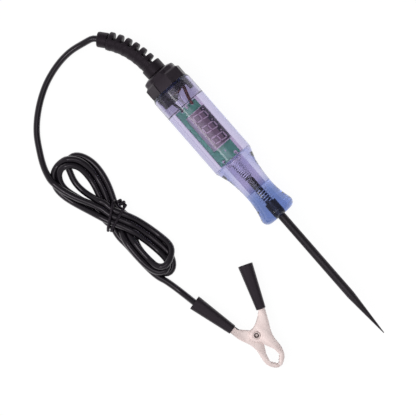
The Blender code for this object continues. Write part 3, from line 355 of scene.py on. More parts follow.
def blackened_steel(name, colour):
    """Blackened steel, turned: fine rings along X and a rubbed tip."""
    finish = Finish(name, Metallic=0.75)
    rings = finish.noise(0.0009, 3.0, finish.coordinates((1.0, 0.05, 0.05)))
    worn = finish.noise(0.004, 4.0, finish.coordinates((0.4, 1.0, 1.0)))
    along = finish.split(finish.coordinates())[0]
    tip = along.above(TIP_X - 0.004, 0.004)
    finish.vary(worn * 0.6 + tip * 0.5, colour, 0.7, 2.6)
    return finish.done(0.30 + rings * 0.16, rings, 0.00002)


def plated(name, colour, roughness, brushed=(1.0, 1.0, 1.0), metallic=1.0):
    """Plated or bright spring metal with press marks and clouded gloss."""
    finish = Finish(name, Metallic=metallic)
    cloud = finish.noise(0.004, 3.0)
    press = finish.noise(0.0012, 3.0, finish.coordinates(brushed))
    finish.vary(cloud, colour, 0.90, 1.08)
    return finish.done(roughness + (press - 0.5) * 0.2 + cloud * 0.08, press, 0.000005)


def coiled(name, colour):
    """Bright spring wire with painted light: a painted highlight where it faces away from the axis, and painted shade,
    near black, between the turns.
    """
    finish = Finish(name, Metallic=0.3)
    _, y, z = finish.split(finish.coordinates(place=(0.0, 0.0, AXIS)))
    reach = (y * y + z * z).power(0.5)
    # Painted highlight on the outer side of each turn, painted shade on its inner side
    painted_crest_light = reach.above(SPRING_BODY_RADIUS + SPRING_WIRE_RADIUS * 0.1, SPRING_WIRE_RADIUS * 0.4)
    drawn = finish.noise(0.0012, 3.0)
    finish.vary(painted_crest_light, colour, 0.02, 1.0)
    return finish.done(0.14 + drawn * 0.14, drawn, 0.00001)


def green_board(name, colour):
    """Solder mask over copper: soft lighter patches, brightest at the rear, under a glossy skin."""
    finish = Finish(name, Coat_Weight=0.35, Coat_Roughness=0.10)
    at = finish.coordinates(turn=(INSIDE_ROLL, 0.0, 0.0), place=(BOARD_REAR_X, 0.0, AXIS))
    along = finish.split(at)[0]
    patches = finish.noise(0.0065, 1.0, at).above(0.54, 0.14)
    rear = 1.0 - along.above(0.0052, 0.0012)
    weave = finish.noise(0.0006, 1.0, at)
    light = (patches * 0.45 + rear * 0.55 + weave * 0.06).math('MINIMUM', 1.0)
    finish.set("Base Color", finish.mix(light, scaled(colour, 0.85), (0.26, 0.76, 0.56)))
    return finish.done(0.32 + weave * 0.1, patches, 0.00003)


def smoked_face(name):
    """The display's smoked window: grey purple, lighter where the reflector shows through."""
    finish = Finish(name, Coat_Weight=0.5, Coat_Roughness=0.15)
    cloud = finish.noise(0.003, 2.0)
    finish.set("Base Color", finish.mix(cloud, (0.230, 0.165, 0.190), (0.330, 0.250, 0.275)))
    return finish.done(0.30 + cloud * 0.1, finish.noise(0.0005, 2.0), 0.00001)


def sheath(name, colour):
    """The cord's glossy vinyl: faint waves along it and a few scuffs."""
    finish = Finish(name, Specular_IOR_Level=0.40, Specular_Tint=BLACK_GLOSS, Coat_Weight=0.6, Coat_Roughness=0.06)
    wave = finish.noise(0.006, 2.0)
    scuff = finish.noise(0.0016, 4.0)
    finish.vary(wave, colour, 0.75, 1.35)
    return finish.done(0.13 + scuff.above(0.62, 0.10) * 0.14, wave, 0.00008)


def wire_gloss(name, colour):
    """Insulation of a thin lead."""
    finish = Finish(name)
    along = finish.noise(0.002, 3.0)
    finish.vary(along, colour, 0.85, 1.12)
    return finish.done(0.32 + along * 0.12, along, 0.00002)


def make_finishes():
    """Makes every finish of the tester once."""
    colours = bpy.context.scene.tester_colours
    return {
        "clear": clear_blue("clear_blue_plastic"),
        "cap": moulded("black_cap_plastic", colours.cap, 0.36, 0.00022, 0.000006,
                       Specular_Tint=BLACK_GLOSS),
        "relief": moulded("black_soft_plastic", colours.relief, 0.44, 0.0003,
                          Specular_IOR_Level=0.35, Specular_Tint=BLACK_GLOSS),
        "cord": sheath("cord_sheath", colours.cord),
        "tie": moulded("tie_plastic", colours.cord, 0.40, 0.0003, Specular_Tint=BLACK_GLOSS),
        "sleeve": moulded("sleeve_vinyl", colours.sleeve, 0.50, 0.00035,
                          Specular_IOR_Level=0.4, Specular_Tint=BLACK_GLOSS),
        "probe": blackened_steel("black_steel", colours.probe),
        # Near-white metal for the probe's thread ridge: a painted glint on blackened steel
        "thread": plated("thread_steel", (0.90, 0.86, 0.90), 0.22, metallic=0.35),
        "nickel": plated("nickel_plate", colours.nickel, 0.36, (0.3, 1.0, 1.0), metallic=0.5),
        # Near-black nickel: painted shade on the jaws' steep walls toward the picture's right and in the rivet's dish
        "painted_shade": plated("sheared_edge", scaled(colours.nickel, 0.12), 0.36),
        "spring": coiled("spring_steel", (0.97, 0.95, 0.96)),
        "solder": plated("solder_tin", (0.97, 0.95, 0.93), 0.22, metallic=0.4),
        # Near-black: painted shade in the pads' pin holes
        "hole_shade": moulded("pad_hole", (0.02, 0.02, 0.02), 0.4, 0.0002),
        "board": green_board("green_board", colours.board),
        "face": smoked_face("display_face"),
        "housing": moulded("display_plastic", (0.80, 0.76, 0.76), 0.35),
        "segment": moulded("display_segment", (0.78, 0.66, 0.71), 0.30),
        # Near-black strip on the display's face and side: a painted dark reflection
        "painted_reflection": moulded("display_band", (0.028, 0.026, 0.040), 0.35),
        "chip": moulded("chip_plastic", (0.022, 0.022, 0.024), 0.5, 0.00015),
        "ceramic": moulded("ceramic", (0.42, 0.27, 0.14), 0.35, 0.0002),
        "brown": wire_gloss("brown_insulation", (0.20, 0.060, 0.040)),
        "white": wire_gloss("white_insulation", (0.72, 0.70, 0.68)),
        "black": wire_gloss("black_insulation", (0.016, 0.012, 0.014)),
    }


FINISHES = {}


def finish_of(key):
    """The material of a finish, made on first use."""
    if not FINISHES:
        FINISHES.update(make_finishes())
    return FINISHES[key]


def piece_of(name, mesh, finishes, replaces=(), slot=None, body=ROOT, angle=40.0):
    """Makes a finished piece of a mesh: shaded, given its finishes and a body to ride on."""
    obj = bpy.data.objects.new(name, mesh)
    bpy.context.scene.collection.objects.link(obj)
    mesh.shade_smooth()
    mesh.set_sharp_from_angle(angle=math.radians(angle))
    for key in finishes:
        mesh.materials.append(finish_of(key))
    if body:
        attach(obj, body)
    if replaces:
        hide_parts(*replaces)
    return obj


def mesh_of(name, bm):
    """A mesh of a bmesh, which is freed."""
    mesh = bpy.data.meshes.new(name)
    bm.to_mesh(mesh)
    bm.free()
    return mesh


def shaped(name, build, finishes, **facts):
    """Makes a piece whose mesh a function builds."""
    bm = bmesh.new()
    build(bm)
    return piece_of(name, mesh_of(name, bm), finishes, **facts)


def solid_of(node):
    """A bmesh of a CAD node's own shape, with its loose triangles joined."""
    bm = bmesh.new()
    bm.from_mesh(frame["nodes"][node].data)
    bmesh.ops.remove_doubles(bm, verts=bm.verts, dist=MERGE)
    return bm


def rounded(corners, segments=4):
    """The corners (x, y, round) with each rounded one between the ends turned into a short curve."""
    points = [corners[0][:2]]
    for before, (x, y, size), after in zip(corners, corners[1:], corners[2:]):
        if not size:
            points.append((x, y))
            continue
        here = Vector((x, y))
        back, on = Vector(before[:2]) - here, Vector(after[:2]) - here
        cut = min(size / math.tan(back.angle(on) / 2), back.length * MOST_CUT, on.length * MOST_CUT)
        start, end = here + back.normalized() * cut, here + on.normalized() * cut
        for j in range(segments + 1):
            t = j / segments
            points.append(tuple(start.lerp(here, t).lerp(here.lerp(end, t), t)))
    return points + [corners[-1][:2]]


def rounded_square(c, s, power):
    """How much nearer than a circle's the edge of a rounded square is, at an angle's cosine and sine."""
    return (abs(c) ** power + abs(s) ** power) ** (1 / power)


def settle(bm, verts, place, material):
    """Gives a new part of a piece its finish, and puts it in its place."""
    for face in {f for v in verts for f in v.link_faces}:
        face.material_index = material
    bmesh.ops.transform(bm, matrix=place, verts=verts)


def turned(bm, profile, steps, place=ON_AXIS, closed=False, pitch=0.0, turns=1, material=0):
    """Spins (station, radius) points about the local X axis, or winds them into a thread."""
    old = set(bm.verts)
    verts = [bm.verts.new((x, 0.0, radius)) for x, radius in profile]
    edges = [bm.edges.new(pair) for pair in zip(verts, verts[1:])]
    if closed:
        edges.append(bm.edges.new((verts[-1], verts[0])))
    bmesh.ops.spin(bm, geom=verts + edges, cent=(0.0, 0.0, 0.0), axis=(1.0, 0.0, 0.0),
                   dvec=(pitch / steps, 0.0, 0.0), angle=FULL * turns, steps=steps * turns,
                   use_merge=not pitch)
    new = [v for v in bm.verts if v not in old]
    bmesh.ops.remove_doubles(bm, verts=new, dist=SPIN_MERGE)
    new = [v for v in bm.verts if v not in old]
    faces = {f for v in new for f in v.link_faces}
    if pitch:
        ends = [e for f in faces for e in f.edges if e.is_boundary]
        faces.update(bmesh.ops.holes_fill(bm, edges=list(set(ends)), sides=0)["faces"])
    bmesh.ops.recalc_face_normals(bm, faces=list(faces))
    settle(bm, new, place, material)
    return new


def box(bm, low, high, place, edge, material=0):
    """Adds a block between two corners, with its edges rounded."""
    low, high = Vector(low), Vector(high)
    size = Matrix.Diagonal((*(high - low), 1.0))
    verts = bmesh.ops.create_cube(bm, size=1.0, matrix=Matrix.Translation((low + high) / 2) @ size)["verts"]
    edges = list({e for v in verts for e in v.link_edges})
    made = bmesh.ops.bevel(bm, geom=edges, offset=edge, segments=2, profile=0.5, affect='EDGES', material=-1)
    settle(bm, list(set(made["verts"]) | {v for v in verts if v.is_valid}), place, material)


def plate(bm, outline, low, high, place, material=0):
    """Adds a flat outline as a plate between two heights."""
    verts = [bm.verts.new((x, y, low)) for x, y in outline]
    raised = bmesh.ops.extrude_face_region(bm, geom=[bm.faces.new(verts)])["geom"]
    top = [v for v in raised if isinstance(v, bmesh.types.BMVert)]
    bmesh.ops.translate(bm, vec=(0.0, 0.0, high - low), verts=top)
    verts += top
    bmesh.ops.recalc_face_normals(bm, faces=list({f for v in verts for f in v.link_faces}))
    settle(bm, verts, place, material)


def curve_of(name, points, radius, resolution):
    """A round curve through points, with closed ends."""
    curve = bpy.data.curves.new(name, 'CURVE')
    curve.dimensions = '3D'
    curve.bevel_depth = radius
    curve.bevel_resolution = resolution
    curve.use_fill_caps = True
    spline = curve.splines.new('POLY')
    spline.points.add(len(points) - 1)
    for knot, place in zip(spline.points, points):
        knot.co = (*place, 1.0)
    spline.use_smooth = True
    obj = bpy.data.objects.new(name, curve)
    bpy.context.scene.collection.objects.link(obj)
    return obj


def wire(name, points, radius, finish, sides=12, **facts):
    """Makes a round wire through points as a mesh piece with closed ends."""
    guide = curve_of(name, points, radius, (sides - 4) // 2)
    bpy.context.view_layer.update()
    mesh = bpy.data.meshes.new_from_object(guide.evaluated_get(bpy.context.evaluated_depsgraph_get()))
    bpy.data.objects.remove(guide)
    bm = bmesh.new()
    bm.from_mesh(mesh)
    bmesh.ops.remove_doubles(bm, verts=bm.verts, dist=MERGE / 2)
    bmesh.ops.recalc_face_normals(bm, faces=bm.faces)
    bm.to_mesh(mesh)
    bm.free()
    mesh.materials.clear()
    return piece_of(name, mesh, [finish], **facts)


def smooth_route(points, spacing):
    """Evenly spaced points along a smooth curve through the route's own points."""
    knots = [Vector(p) for p in points]
    knots = [2 * knots[0] - knots[1], *knots, 2 * knots[-1] - knots[-2]]
    fine = []
    for before, start, end, after in zip(knots, knots[1:], knots[2:], knots[3:]):
        for i in range(FINE_STEPS):
            t = i / FINE_STEPS
            pull = (end - before) * t + (2 * before - 5 * start + 4 * end - after) * t * t
            pull += (3 * start - before - 3 * end + after) * t ** 3
            fine.append(start + pull / 2)
    fine.append(knots[-2])
    lengths = [0.0]
    for start, end in zip(fine, fine[1:]):
        lengths.append(lengths[-1] + (end - start).length)
    count = max(2, round(lengths[-1] / spacing))
    route = []
    index = 0
    for i in range(count + 1):
        wanted = lengths[-1] * i / count
        while index < len(fine) - 2 and lengths[index + 1] < wanted:
            index += 1
        share = (wanted - lengths[index]) / (lengths[index + 1] - lengths[index])
        route.append(fine[index].lerp(fine[index + 1], share))
    return route


# Clear handle, measured from its mouth
SHOULDER_START = 0.0499
NECK_START = 0.0570
NECK_RADIUS = 0.0091
WAIST_STATION = 0.0710
WAIST_RADIUS = 0.00775
BELL_RADIUS = 0.0099
BELL_FILLET = 0.0036
COUNTERBORE_RADIUS = 0.0103
COUNTERBORE_DEPTH = 0.0123
BORE_RADIUS = 0.0077
BORE_DEPTH = 0.0495
NECK_BORE_RADIUS = 0.0053
NECK_BORE_DEPTH = 0.0697
HOLE_RADIUS = 0.00218
HANDLE_STEPS = 160


def arc(centre, radius, start, end, count):
    """Points along an arc, both ends included."""
    points = []
    for i in range(count + 1):
        angle = start + (end - start) * i / count
        points.append((centre[0] + radius * math.cos(angle), centre[1] + radius * math.sin(angle)))
    return points


def handle_profile():
    """The handle's closed section: the bell and the waist, the barrel, then the stepped bores."""
    fillet_x = NOSE_X - BELL_FILLET
    waist_x = MOUTH_X + WAIST_STATION
    rise = BELL_RADIUS - WAIST_RADIUS
    run = fillet_x - waist_x
    flare = (rise ** 2 + run ** 2) / (2 * rise) - BELL_FILLET
    lean = math.asin(run / (flare + BELL_FILLET))
    neck_x = MOUTH_X + NECK_START
    drop = NECK_RADIUS - WAIST_RADIUS
    neck_arc = ((waist_x - neck_x) ** 2 + drop ** 2) / (2 * drop)
    neck_lean = math.asin((waist_x - neck_x) / neck_arc)
    outer = [(NOSE_X, HOLE_RADIUS)]
    outer += arc((fillet_x, BELL_RADIUS - BELL_FILLET), BELL_FILLET, 0.0, math.pi / 2 + lean, 12)
    outer += arc((waist_x, WAIST_RADIUS + flare), flare, lean - math.pi / 2, -math.pi / 2, 14)[1:]
    outer += arc((waist_x, WAIST_RADIUS + neck_arc), neck_arc, -math.pi / 2, -math.pi / 2 - neck_lean, 10)[1:]
    bores = rounded([
        (MOUTH_X + NECK_START, NECK_RADIUS, 0.0),
        (MOUTH_X + SHOULDER_START, BARREL_RADIUS, 0.0007),
        (MOUTH_X + 0.0019, BARREL_RADIUS, 0.0005),
        (MOUTH_X, BARREL_RADIUS - 0.0006, 0.0002),
        (MOUTH_X, COUNTERBORE_RADIUS, 0.0001),
        (MOUTH_X + COUNTERBORE_DEPTH, COUNTERBORE_RADIUS, 0.0003),
        (MOUTH_X + COUNTERBORE_DEPTH, BORE_RADIUS, 0.0003),
        (MOUTH_X + BORE_DEPTH, BORE_RADIUS, 0.0004),
        (MOUTH_X + BORE_DEPTH, NECK_BORE_RADIUS, 0.0004),
        (MOUTH_X + NECK_BORE_DEPTH, NECK_BORE_RADIUS, 0.0004),
        (MOUTH_X + NECK_BORE_DEPTH, HOLE_RADIUS, 0.0),
    ])
    return outer + bores[1:]


# End cap, measured from its rear
CAP_FLATS = 8
CAP_FLAT_TURN = math.radians(10.0)
CAP_RING_RADIUS = 0.0111
CAP_DOME_RADIUS = 0.0095
CAP_RING_FLAT = 0.00985
CAP_DOME_FLAT = 0.0091
CAP_FLAT_SPREAD = 0.00062
PLUG_RADIUS = 0.0100
PLUG_WALL = 0.0020
PLUG_LENGTH = 0.0047
CAP_STEPS = 240
THREAD_HEIGHT = 0.0006
PRONG_COUNT = 3
PRONG_TURN = math.radians(-74.4)
PRONG_HALF_WIDTH = 0.0026
PRONG_REACH = 0.0034


def cap_flat(station, middle):
    """The distance of a flat from the axis at a station from the cap's rear; the side flats are shallower."""
    aside = abs(math.sin(middle))
    ring = CAP_RING_FLAT + CAP_FLAT_SPREAD * aside
    sloped = min(max((station - 0.0012) / 0.0060, 0.0), 1.0)
    stepped = min(max((station - 0.0032) / 0.0010, 0.0), 1.0)
    return CAP_DOME_FLAT + (ring - CAP_DOME_FLAT) * (sloped + (stepped - sloped) * aside ** 2)


def build_cap(bm):
    """Turns the cap, presses its eight flats, and adds its thread and its prongs."""
    ring_front = MOUTH_X - 0.0001
    plug_front = MOUTH_X + PLUG_LENGTH
    profile = rounded([
        (plug_front, PLUG_RADIUS - PLUG_WALL, 0.0),
        (plug_front, PLUG_RADIUS - 0.0004, 0.0002),
        (ring_front, PLUG_RADIUS - 0.0004, 0.0),
        (ring_front, CAP_RING_RADIUS, 0.0004),
        (REAR_X + 0.0042, CAP_RING_RADIUS, 0.0006),
        (REAR_X + 0.0032, CAP_DOME_RADIUS, 0.0005),
        (REAR_X + 0.0010, CAP_DOME_RADIUS, 0.0018),
        (REAR_X, 0.0066, 0.0014),
        (REAR_X, 0.0034, 0.0003),
        (REAR_X + 0.0025, 0.0034, 0.0002),
        (REAR_X + 0.0025, PLUG_RADIUS - PLUG_WALL, 0.0004),
        (plug_front, PLUG_RADIUS - PLUG_WALL, 0.0),
    ], 6)[:-1]
    verts = turned(bm, profile, CAP_STEPS, closed=True)
    pitch = FULL / CAP_FLATS
    step = FULL / CAP_STEPS
    for vert in verts:
        y, z = vert.co.y, vert.co.z - AXIS
        radius = math.hypot(y, z)
        if vert.co.x > ring_front + 0.00005 or radius < CAP_DOME_FLAT:
            continue
        angle = math.atan2(y, z) + CAP_FLAT_TURN
        middle = round(angle / pitch) * pitch
        flat = cap_flat(vert.co.x - REAR_X, middle)
        aside = angle - middle
        if radius > flat:
            edge = math.acos(flat / radius)
            if abs(abs(aside) - edge) < step / 2:
                aside = math.copysign(edge, aside)
        radius = min(radius, flat / math.cos(aside))
        turn = middle + aside - CAP_FLAT_TURN
        vert.co.y = radius * math.sin(turn)
        vert.co.z = AXIS + radius * math.cos(turn)
    turns = bpy.context.scene.tester_sizes.plug_thread_turns
    rise = (PLUG_LENGTH - 0.0006) / (turns + 1)
    foot = PLUG_RADIUS - THREAD_HEIGHT
    ridge = [(ring_front + 0.0001, foot), (ring_front + 0.0004, PLUG_RADIUS),
             (ring_front + 0.0007, PLUG_RADIUS), (ring_front + 0.0010, foot)]
    turned(bm, ridge, 96, closed=True, pitch=rise, turns=turns)
    for i in range(PRONG_COUNT):
        place = ON_AXIS @ Matrix.Rotation(PRONG_TURN + FULL * i / PRONG_COUNT, 4, 'X')
        box(bm, (plug_front - 0.0016, -PRONG_HALF_WIDTH, PLUG_RADIUS - PLUG_WALL),
            (plug_front + PRONG_REACH, PRONG_HALF_WIDTH, PLUG_RADIUS - 0.0002), place, 0.0003)


# Strain relief, measured along its guide from the cap
BOOT_BASE_LENGTH = 0.0053
BOOT_BASE_RADIUS = 0.00565
RIB_COUNT = 6
RIB_WIDTH = 0.0024
RIB_GAP = 0.0019
CORE_REACH = 0.0006
RIB_RELIEF = 0.00015
FERRULE_GAP = 0.0007
FERRULE_LENGTH = 0.0056
FERRULE_RADIUS = 0.0041
BOOT_LENGTH = BOOT_BASE_LENGTH + RIB_COUNT * (RIB_WIDTH + RIB_GAP) + FERRULE_GAP + FERRULE_LENGTH


def guide_place(share):
    """The place on the strain relief's guide at a share of its parameter."""
    ends = (BOOT_START, BOOT_HANDLE, BOOT_END_HANDLE, BOOT_END)
    weights = ((1 - share) ** 3, 3 * share * (1 - share) ** 2, 3 * share ** 2 * (1 - share), share ** 3)
    return sum((end * weight for end, weight in zip(ends, weights)), Vector())


GUIDE = [guide_place(i / 400) for i in range(401)]


def guide_frame(length):
    """The place, heading and sides of the guide at a length from the cap, straight on past its end."""
    for start, end in zip(GUIDE, GUIDE[1:]):
        step = (end - start).length
        heading = (end - start).normalized()
        if length <= step:
            break
        length -= step
    else:
        start = end
    side = Vector((0.0, 0.0, 1.0)).cross(heading).normalized()
    return start + heading * length, heading, side, heading.cross(side)


def build_boot(bm):
    """Turns the ribs straight, fills their inner side with the core, and bends the whole along the guide."""
    ribs = bpy.context.scene.tester_sizes.rib_radius
    spindle = 0.0022
    # The collar and its neck in the cap, then the straight block, the ribs and the hollow ferrule
    corners = [
        (-0.0042, 0.0, 0.0), (-0.0042, 0.0052, 0.0003), (-0.0028, 0.0052, 0.0003), (-0.0028, 0.0033, 0.0),
        (0.0001, 0.0033, 0.0), (0.0001, BOOT_BASE_RADIUS, 0.0004),
        (BOOT_BASE_LENGTH, BOOT_BASE_RADIUS, 0.0005), (BOOT_BASE_LENGTH, spindle, 0.0003)]
    at = BOOT_BASE_LENGTH
    for _ in range(RIB_COUNT):
        at += RIB_GAP
        corners += [(at, spindle, 0.0003), (at, ribs, 0.0006),
                    (at + RIB_WIDTH, ribs, 0.0006), (at + RIB_WIDTH, spindle, 0.0003)]
        at += RIB_WIDTH
    at += FERRULE_GAP
    end = at + FERRULE_LENGTH
    corners += [(at, spindle, 0.0002), (at, FERRULE_RADIUS, 0.0005), (end, FERRULE_RADIUS, 0.0014),
                (end, 0.0019, 0.0003), (end - 0.0012, 0.0018, 0.0), (end - 0.0012, 0.0, 0.0)]
    verts = turned(bm, rounded(corners, 3), 72, place=Matrix())
    for vert in verts:
        x, y, z = vert.co
        radius = math.hypot(y, z)
        if BOOT_BASE_LENGTH * 0.9 < x < end - FERRULE_LENGTH and radius > 0.001:
            # The gaps are cut from the outer side only, down to a flat floor past the middle
            c, s = y / radius, z / radius
            full = ribs - RIB_RELIEF
            reach = full if c > 0.0 else min(full, CORE_REACH / max(-c, 1e-6))
            radius = max(radius, reach)
            y, z = radius * c, radius * s
        place, _, side, up = guide_frame(max(x, 0.0))
        # The collar lies in the cap, on the tester's axis
        vert.co = (place if x > 0.0 else BOOT_START - Vector((x, 0.0, 0.0))) + side * y + up * z


CORD_START = guide_frame(BOOT_LENGTH)


# Way of the cord in millimetres: from the strain relief to the hank, three turns of a figure of eight,
# and out to the clip. A waist point is (along, across, height) from the tie's middle.
WAIST_MM = (-47.9, -66.1)
WAIST_ALONG = (0.926, 0.377)
TOP_MM = 5.2
LOW_MM = 1.8
OUTER_MM = 4.72


def waist(along, across, height, lean=0.0):
    """A point of the hank's waist, in millimetres; lean turns the strand's heading, in degrees."""
    c, s = math.cos(math.radians(lean)), math.sin(math.radians(lean))
    heading = (WAIST_ALONG[0] * c - WAIST_ALONG[1] * s, WAIST_ALONG[0] * s + WAIST_ALONG[1] * c)
    return (WAIST_MM[0] + along * heading[0] - across * WAIST_ALONG[1],
            WAIST_MM[1] + along * heading[1] + across * WAIST_ALONG[0], height)


def over(across):
    """A strand's two points on top of the waist, from the left end to the right."""
    return waist(-3.0, across, TOP_MM, 5.0), waist(3.0, across, TOP_MM, 5.0)


def under(across):
    """A strand's two points on the floor in the waist, from the right end to the left."""
    return waist(4.0, across, LOW_MM, -14.0), waist(-3.0, across, LOW_MM, -14.0)


CORD_WAY_MM = (
    # From the strain relief down to the floor, and onto the hank's left side
    (-127.0, -19.0, 5.8), (-128.6, -26.3, 4.2), (-128.0, -35.5, 2.7), (-125.0, -45.8, 1.8),
    (-120.2, -54.6, 1.8), (-114.2, -62.4, 1.8), (-107.5, -68.7, 1.8), (-100.6, -72.8, 1.8),
    (-94.8, -76.0, 2.0), (-89.1, -78.1, 3.2), (-83.6, -78.8, 4.8), (-78.1, -78.2, 5.2),
    (-72.7, -76.4, 5.2), (-67.1, -74.0, 5.2), (-61.3, -70.9, 5.2), (-55.4, -67.9, 5.2), *over(0.0),
    # First turn, right end, outermost
    (-38.5, -61.9, 4.0), (-30.1, -59.3, 2.2), (-22.5, -57.8, 1.8), (-15.4, -57.1, 1.8),
    (-11.4, -57.9, 1.8), (-8.3, -59.8, 1.8), (-6.9, -62.6, 1.8), (-7.3, -65.5, 1.8),
    (-9.8, -67.5, 1.8), (-13.5, -67.9, 1.8), (-19.0, -67.7, 1.8), (-27.5, -67.4, 1.8), (-34.0, -66.0, 1.8),
    (-39.6, -63.4, 1.8), *under(OUTER_MM),
    # First turn, left end: outermost at first, then under the others and apart from them
    (-55.3, -60.7, 1.8), (-62.2, -57.9, 1.8), (-66.4, -56.8, 1.8), (-70.9, -56.0, 1.8),
    (-76.0, -55.8, 1.8), (-80.8, -56.9, 1.8), (-85.1, -59.3, 1.8), (-87.3, -63.0, 1.8),
    (-86.0, -66.8, 1.8), (-81.3, -68.2, 1.8), (-76.8, -70.0, 1.8), (-71.5, -70.2, 1.8),
    (-64.3, -68.6, 2.4), (-57.8, -65.6, 4.4), *over(3.15),
    # Second turn, right end: a raised fold over the first, and back on top of it
    (-39.5, -58.8, 4.0), (-31.0, -56.1, 2.2), (-23.0, -54.3, 2.4), (-18.4, -53.8, 4.0),
    (-15.3, -54.9, 5.6), (-12.9, -57.9, 6.8), (-11.2, -60.9, 7.8), (-11.2, -63.9, 8.0),
    (-13.6, -66.4, 7.4), (-18.5, -67.5, 5.4), (-27.5, -67.4, 5.2), (-34.2, -66.9, 4.4),
    (-39.2, -66.0, 2.4), *under(1.57),
    # Second turn, left end: over the first turn's, and outermost from there
    (-56.7, -63.8, 1.8), (-63.0, -61.1, 1.8), (-68.5, -59.7, 1.8), (-73.8, -59.0, 2.8),
    (-79.2, -59.5, 4.6), (-83.8, -61.3, 5.2), (-86.8, -64.6, 4.6), (-88.3, -69.3, 2.4),
    (-87.4, -74.4, 1.8), (-84.0, -78.0, 1.8), (-79.0, -79.7, 1.8), (-72.8, -79.1, 1.8),
    (-66.0, -76.9, 2.2), (-57.2, -73.4, 4.4), *over(-3.15),
    # Third turn, right end: inside the first, leaning on it, and back on top of the tail
    (-35.2, -63.6, 4.0), (-28.2, -61.9, 2.2), (-20.4, -60.6, 1.8), (-15.2, -60.0, 2.6),
    (-12.0, -60.4, 4.0), (-9.7, -62.0, 4.8), (-8.9, -64.4, 4.8), (-9.9, -67.0, 4.9), (-12.8, -69.2, 5.0),
    (-17.5, -70.1, 5.2), (-25.0, -70.7, 5.2), (-31.5, -70.4, 4.8), (-36.8, -69.2, 2.8), *under(-1.57),
    # Third turn, left end: over the first turn's, then inside the second's
    (-57.8, -66.8, 1.8), (-62.6, -64.5, 1.8), (-68.0, -63.0, 1.8), (-74.3, -62.5, 2.8),
    (-80.0, -62.8, 4.6), (-83.8, -65.2, 5.2), (-85.7, -70.0, 4.6), (-84.0, -74.0, 3.4),
    (-79.6, -76.3, 2.2), (-75.2, -76.3, 1.8), (-68.6, -74.2, 1.8), (-64.0, -72.8, 1.8),
    (-57.6, -70.6, 1.8), waist(-3.0, -OUTER_MM, LOW_MM, -8.0), waist(4.0, -OUTER_MM, LOW_MM, -8.0),
    # The tail: along the outside of the right end, and up into the clip's sleeve
    (-36.4, -70.4, 1.8), (-26.2, -71.0, 1.8), (-17.5, -70.4, 1.8), (-10.5, -69.0, 1.8),
    (-5.0, -67.8, 1.8), (1.5, -66.4, 1.8), (7.0, -65.3, 2.6), (11.0, -64.5, 4.0),
    (13.23, -64.02, 5.0), (18.68, -62.73, 5.0),
)
CORD_STEP = 0.0020
CORD_ROUNDS = 260
FOLD_MIDDLE = (-0.0150, -0.0548)


def near(places, middle, reach):
    """How near each place lies to a middle, seen from above: one at it, falling off with the reach."""
    return np.exp(-(np.linalg.norm(places[:, :2] - np.array(middle), axis=1) / reach) ** 2)


def settled_cord(diameter):
    """Lets the cord's points settle: apart from each other, on the floor, smooth, and near their way."""
    start, heading = CORD_START[0], CORD_START[1]
    first = start - heading * 0.0008
    way = [first, start + heading * 0.0025] + [Vector(p) * MM for p in CORD_WAY_MM]
    places = np.array([tuple(p) for p in smooth_route(way, CORD_STEP)])
    wanted = places.copy()
    count = len(places)
    step = float(np.linalg.norm(np.diff(places, axis=0), axis=1).mean())
    # The tie and the raised fold hold the strands, and under the tie they're pressed together
    near_tie = near(wanted, np.array(WAIST_MM) * MM, 0.007)
    hold = 0.07 + 0.26 * near_tie + 0.25 * near(wanted, FOLD_MIDDLE, 0.004)
    apart = diameter * (0.955 - 0.055 * near_tie)
    # Both ends lie where the strain relief and the clip's sleeve hold them
    fixed = np.zeros(count, dtype=bool)
    fixed[:4] = True
    fixed[-6:] = True
    index = np.arange(count)
    far = np.abs(index[:, None] - index[None, :]) > int(1.6 * diameter / step)
    limit = np.minimum(apart[:, None], apart[None, :])
    for _ in range(CORD_ROUNDS):
        moved = places.copy()
        # Stiffness: the bends even out, and so does the way they change
        moved[1:-1] += 0.22 * ((places[:-2] + places[2:]) / 2 - places[1:-1])
        moved[2:-2] += 0.10 * (-places[:-4] + 4 * places[1:-3] - 6 * places[2:-2]
                               + 4 * places[3:-1] - places[4:]) / 4
        # Back toward the wanted way, and down
        moved += hold[:, None] * (wanted - places) * np.array((1.0, 1.0, 0.8))
        moved[:, 2] -= 0.00002
        # Strands that touch push each other apart, and none sinks into the floor
        for _ in range(3):
            gap = moved[:, None, :] - moved[None, :, :]
            distance = np.sqrt((gap ** 2).sum(axis=2)) + 1e-9
            short = np.where(far, np.maximum(limit - distance, 0.0), 0.0)
            push = gap / distance[:, :, None] * (short * 0.5)[:, :, None]
            touching = np.maximum((short > 0).sum(axis=1), 1)
            moved += push.sum(axis=1) / np.sqrt(touching)[:, None]
            moved[:, 2] = np.maximum(moved[:, 2], diameter / 2)
        # The links between the points keep their length
        for _ in range(4):
            link = moved[1:] - moved[:-1]
            size = np.linalg.norm(link, axis=1, keepdims=True)
            pull = link * (1 - step / size) * 0.5
            moved[:-1] += pull * 0.5
            moved[1:] -= pull * 0.5
        moved[fixed] = wanted[fixed]
        places = moved
    return [Vector(p) for p in places]


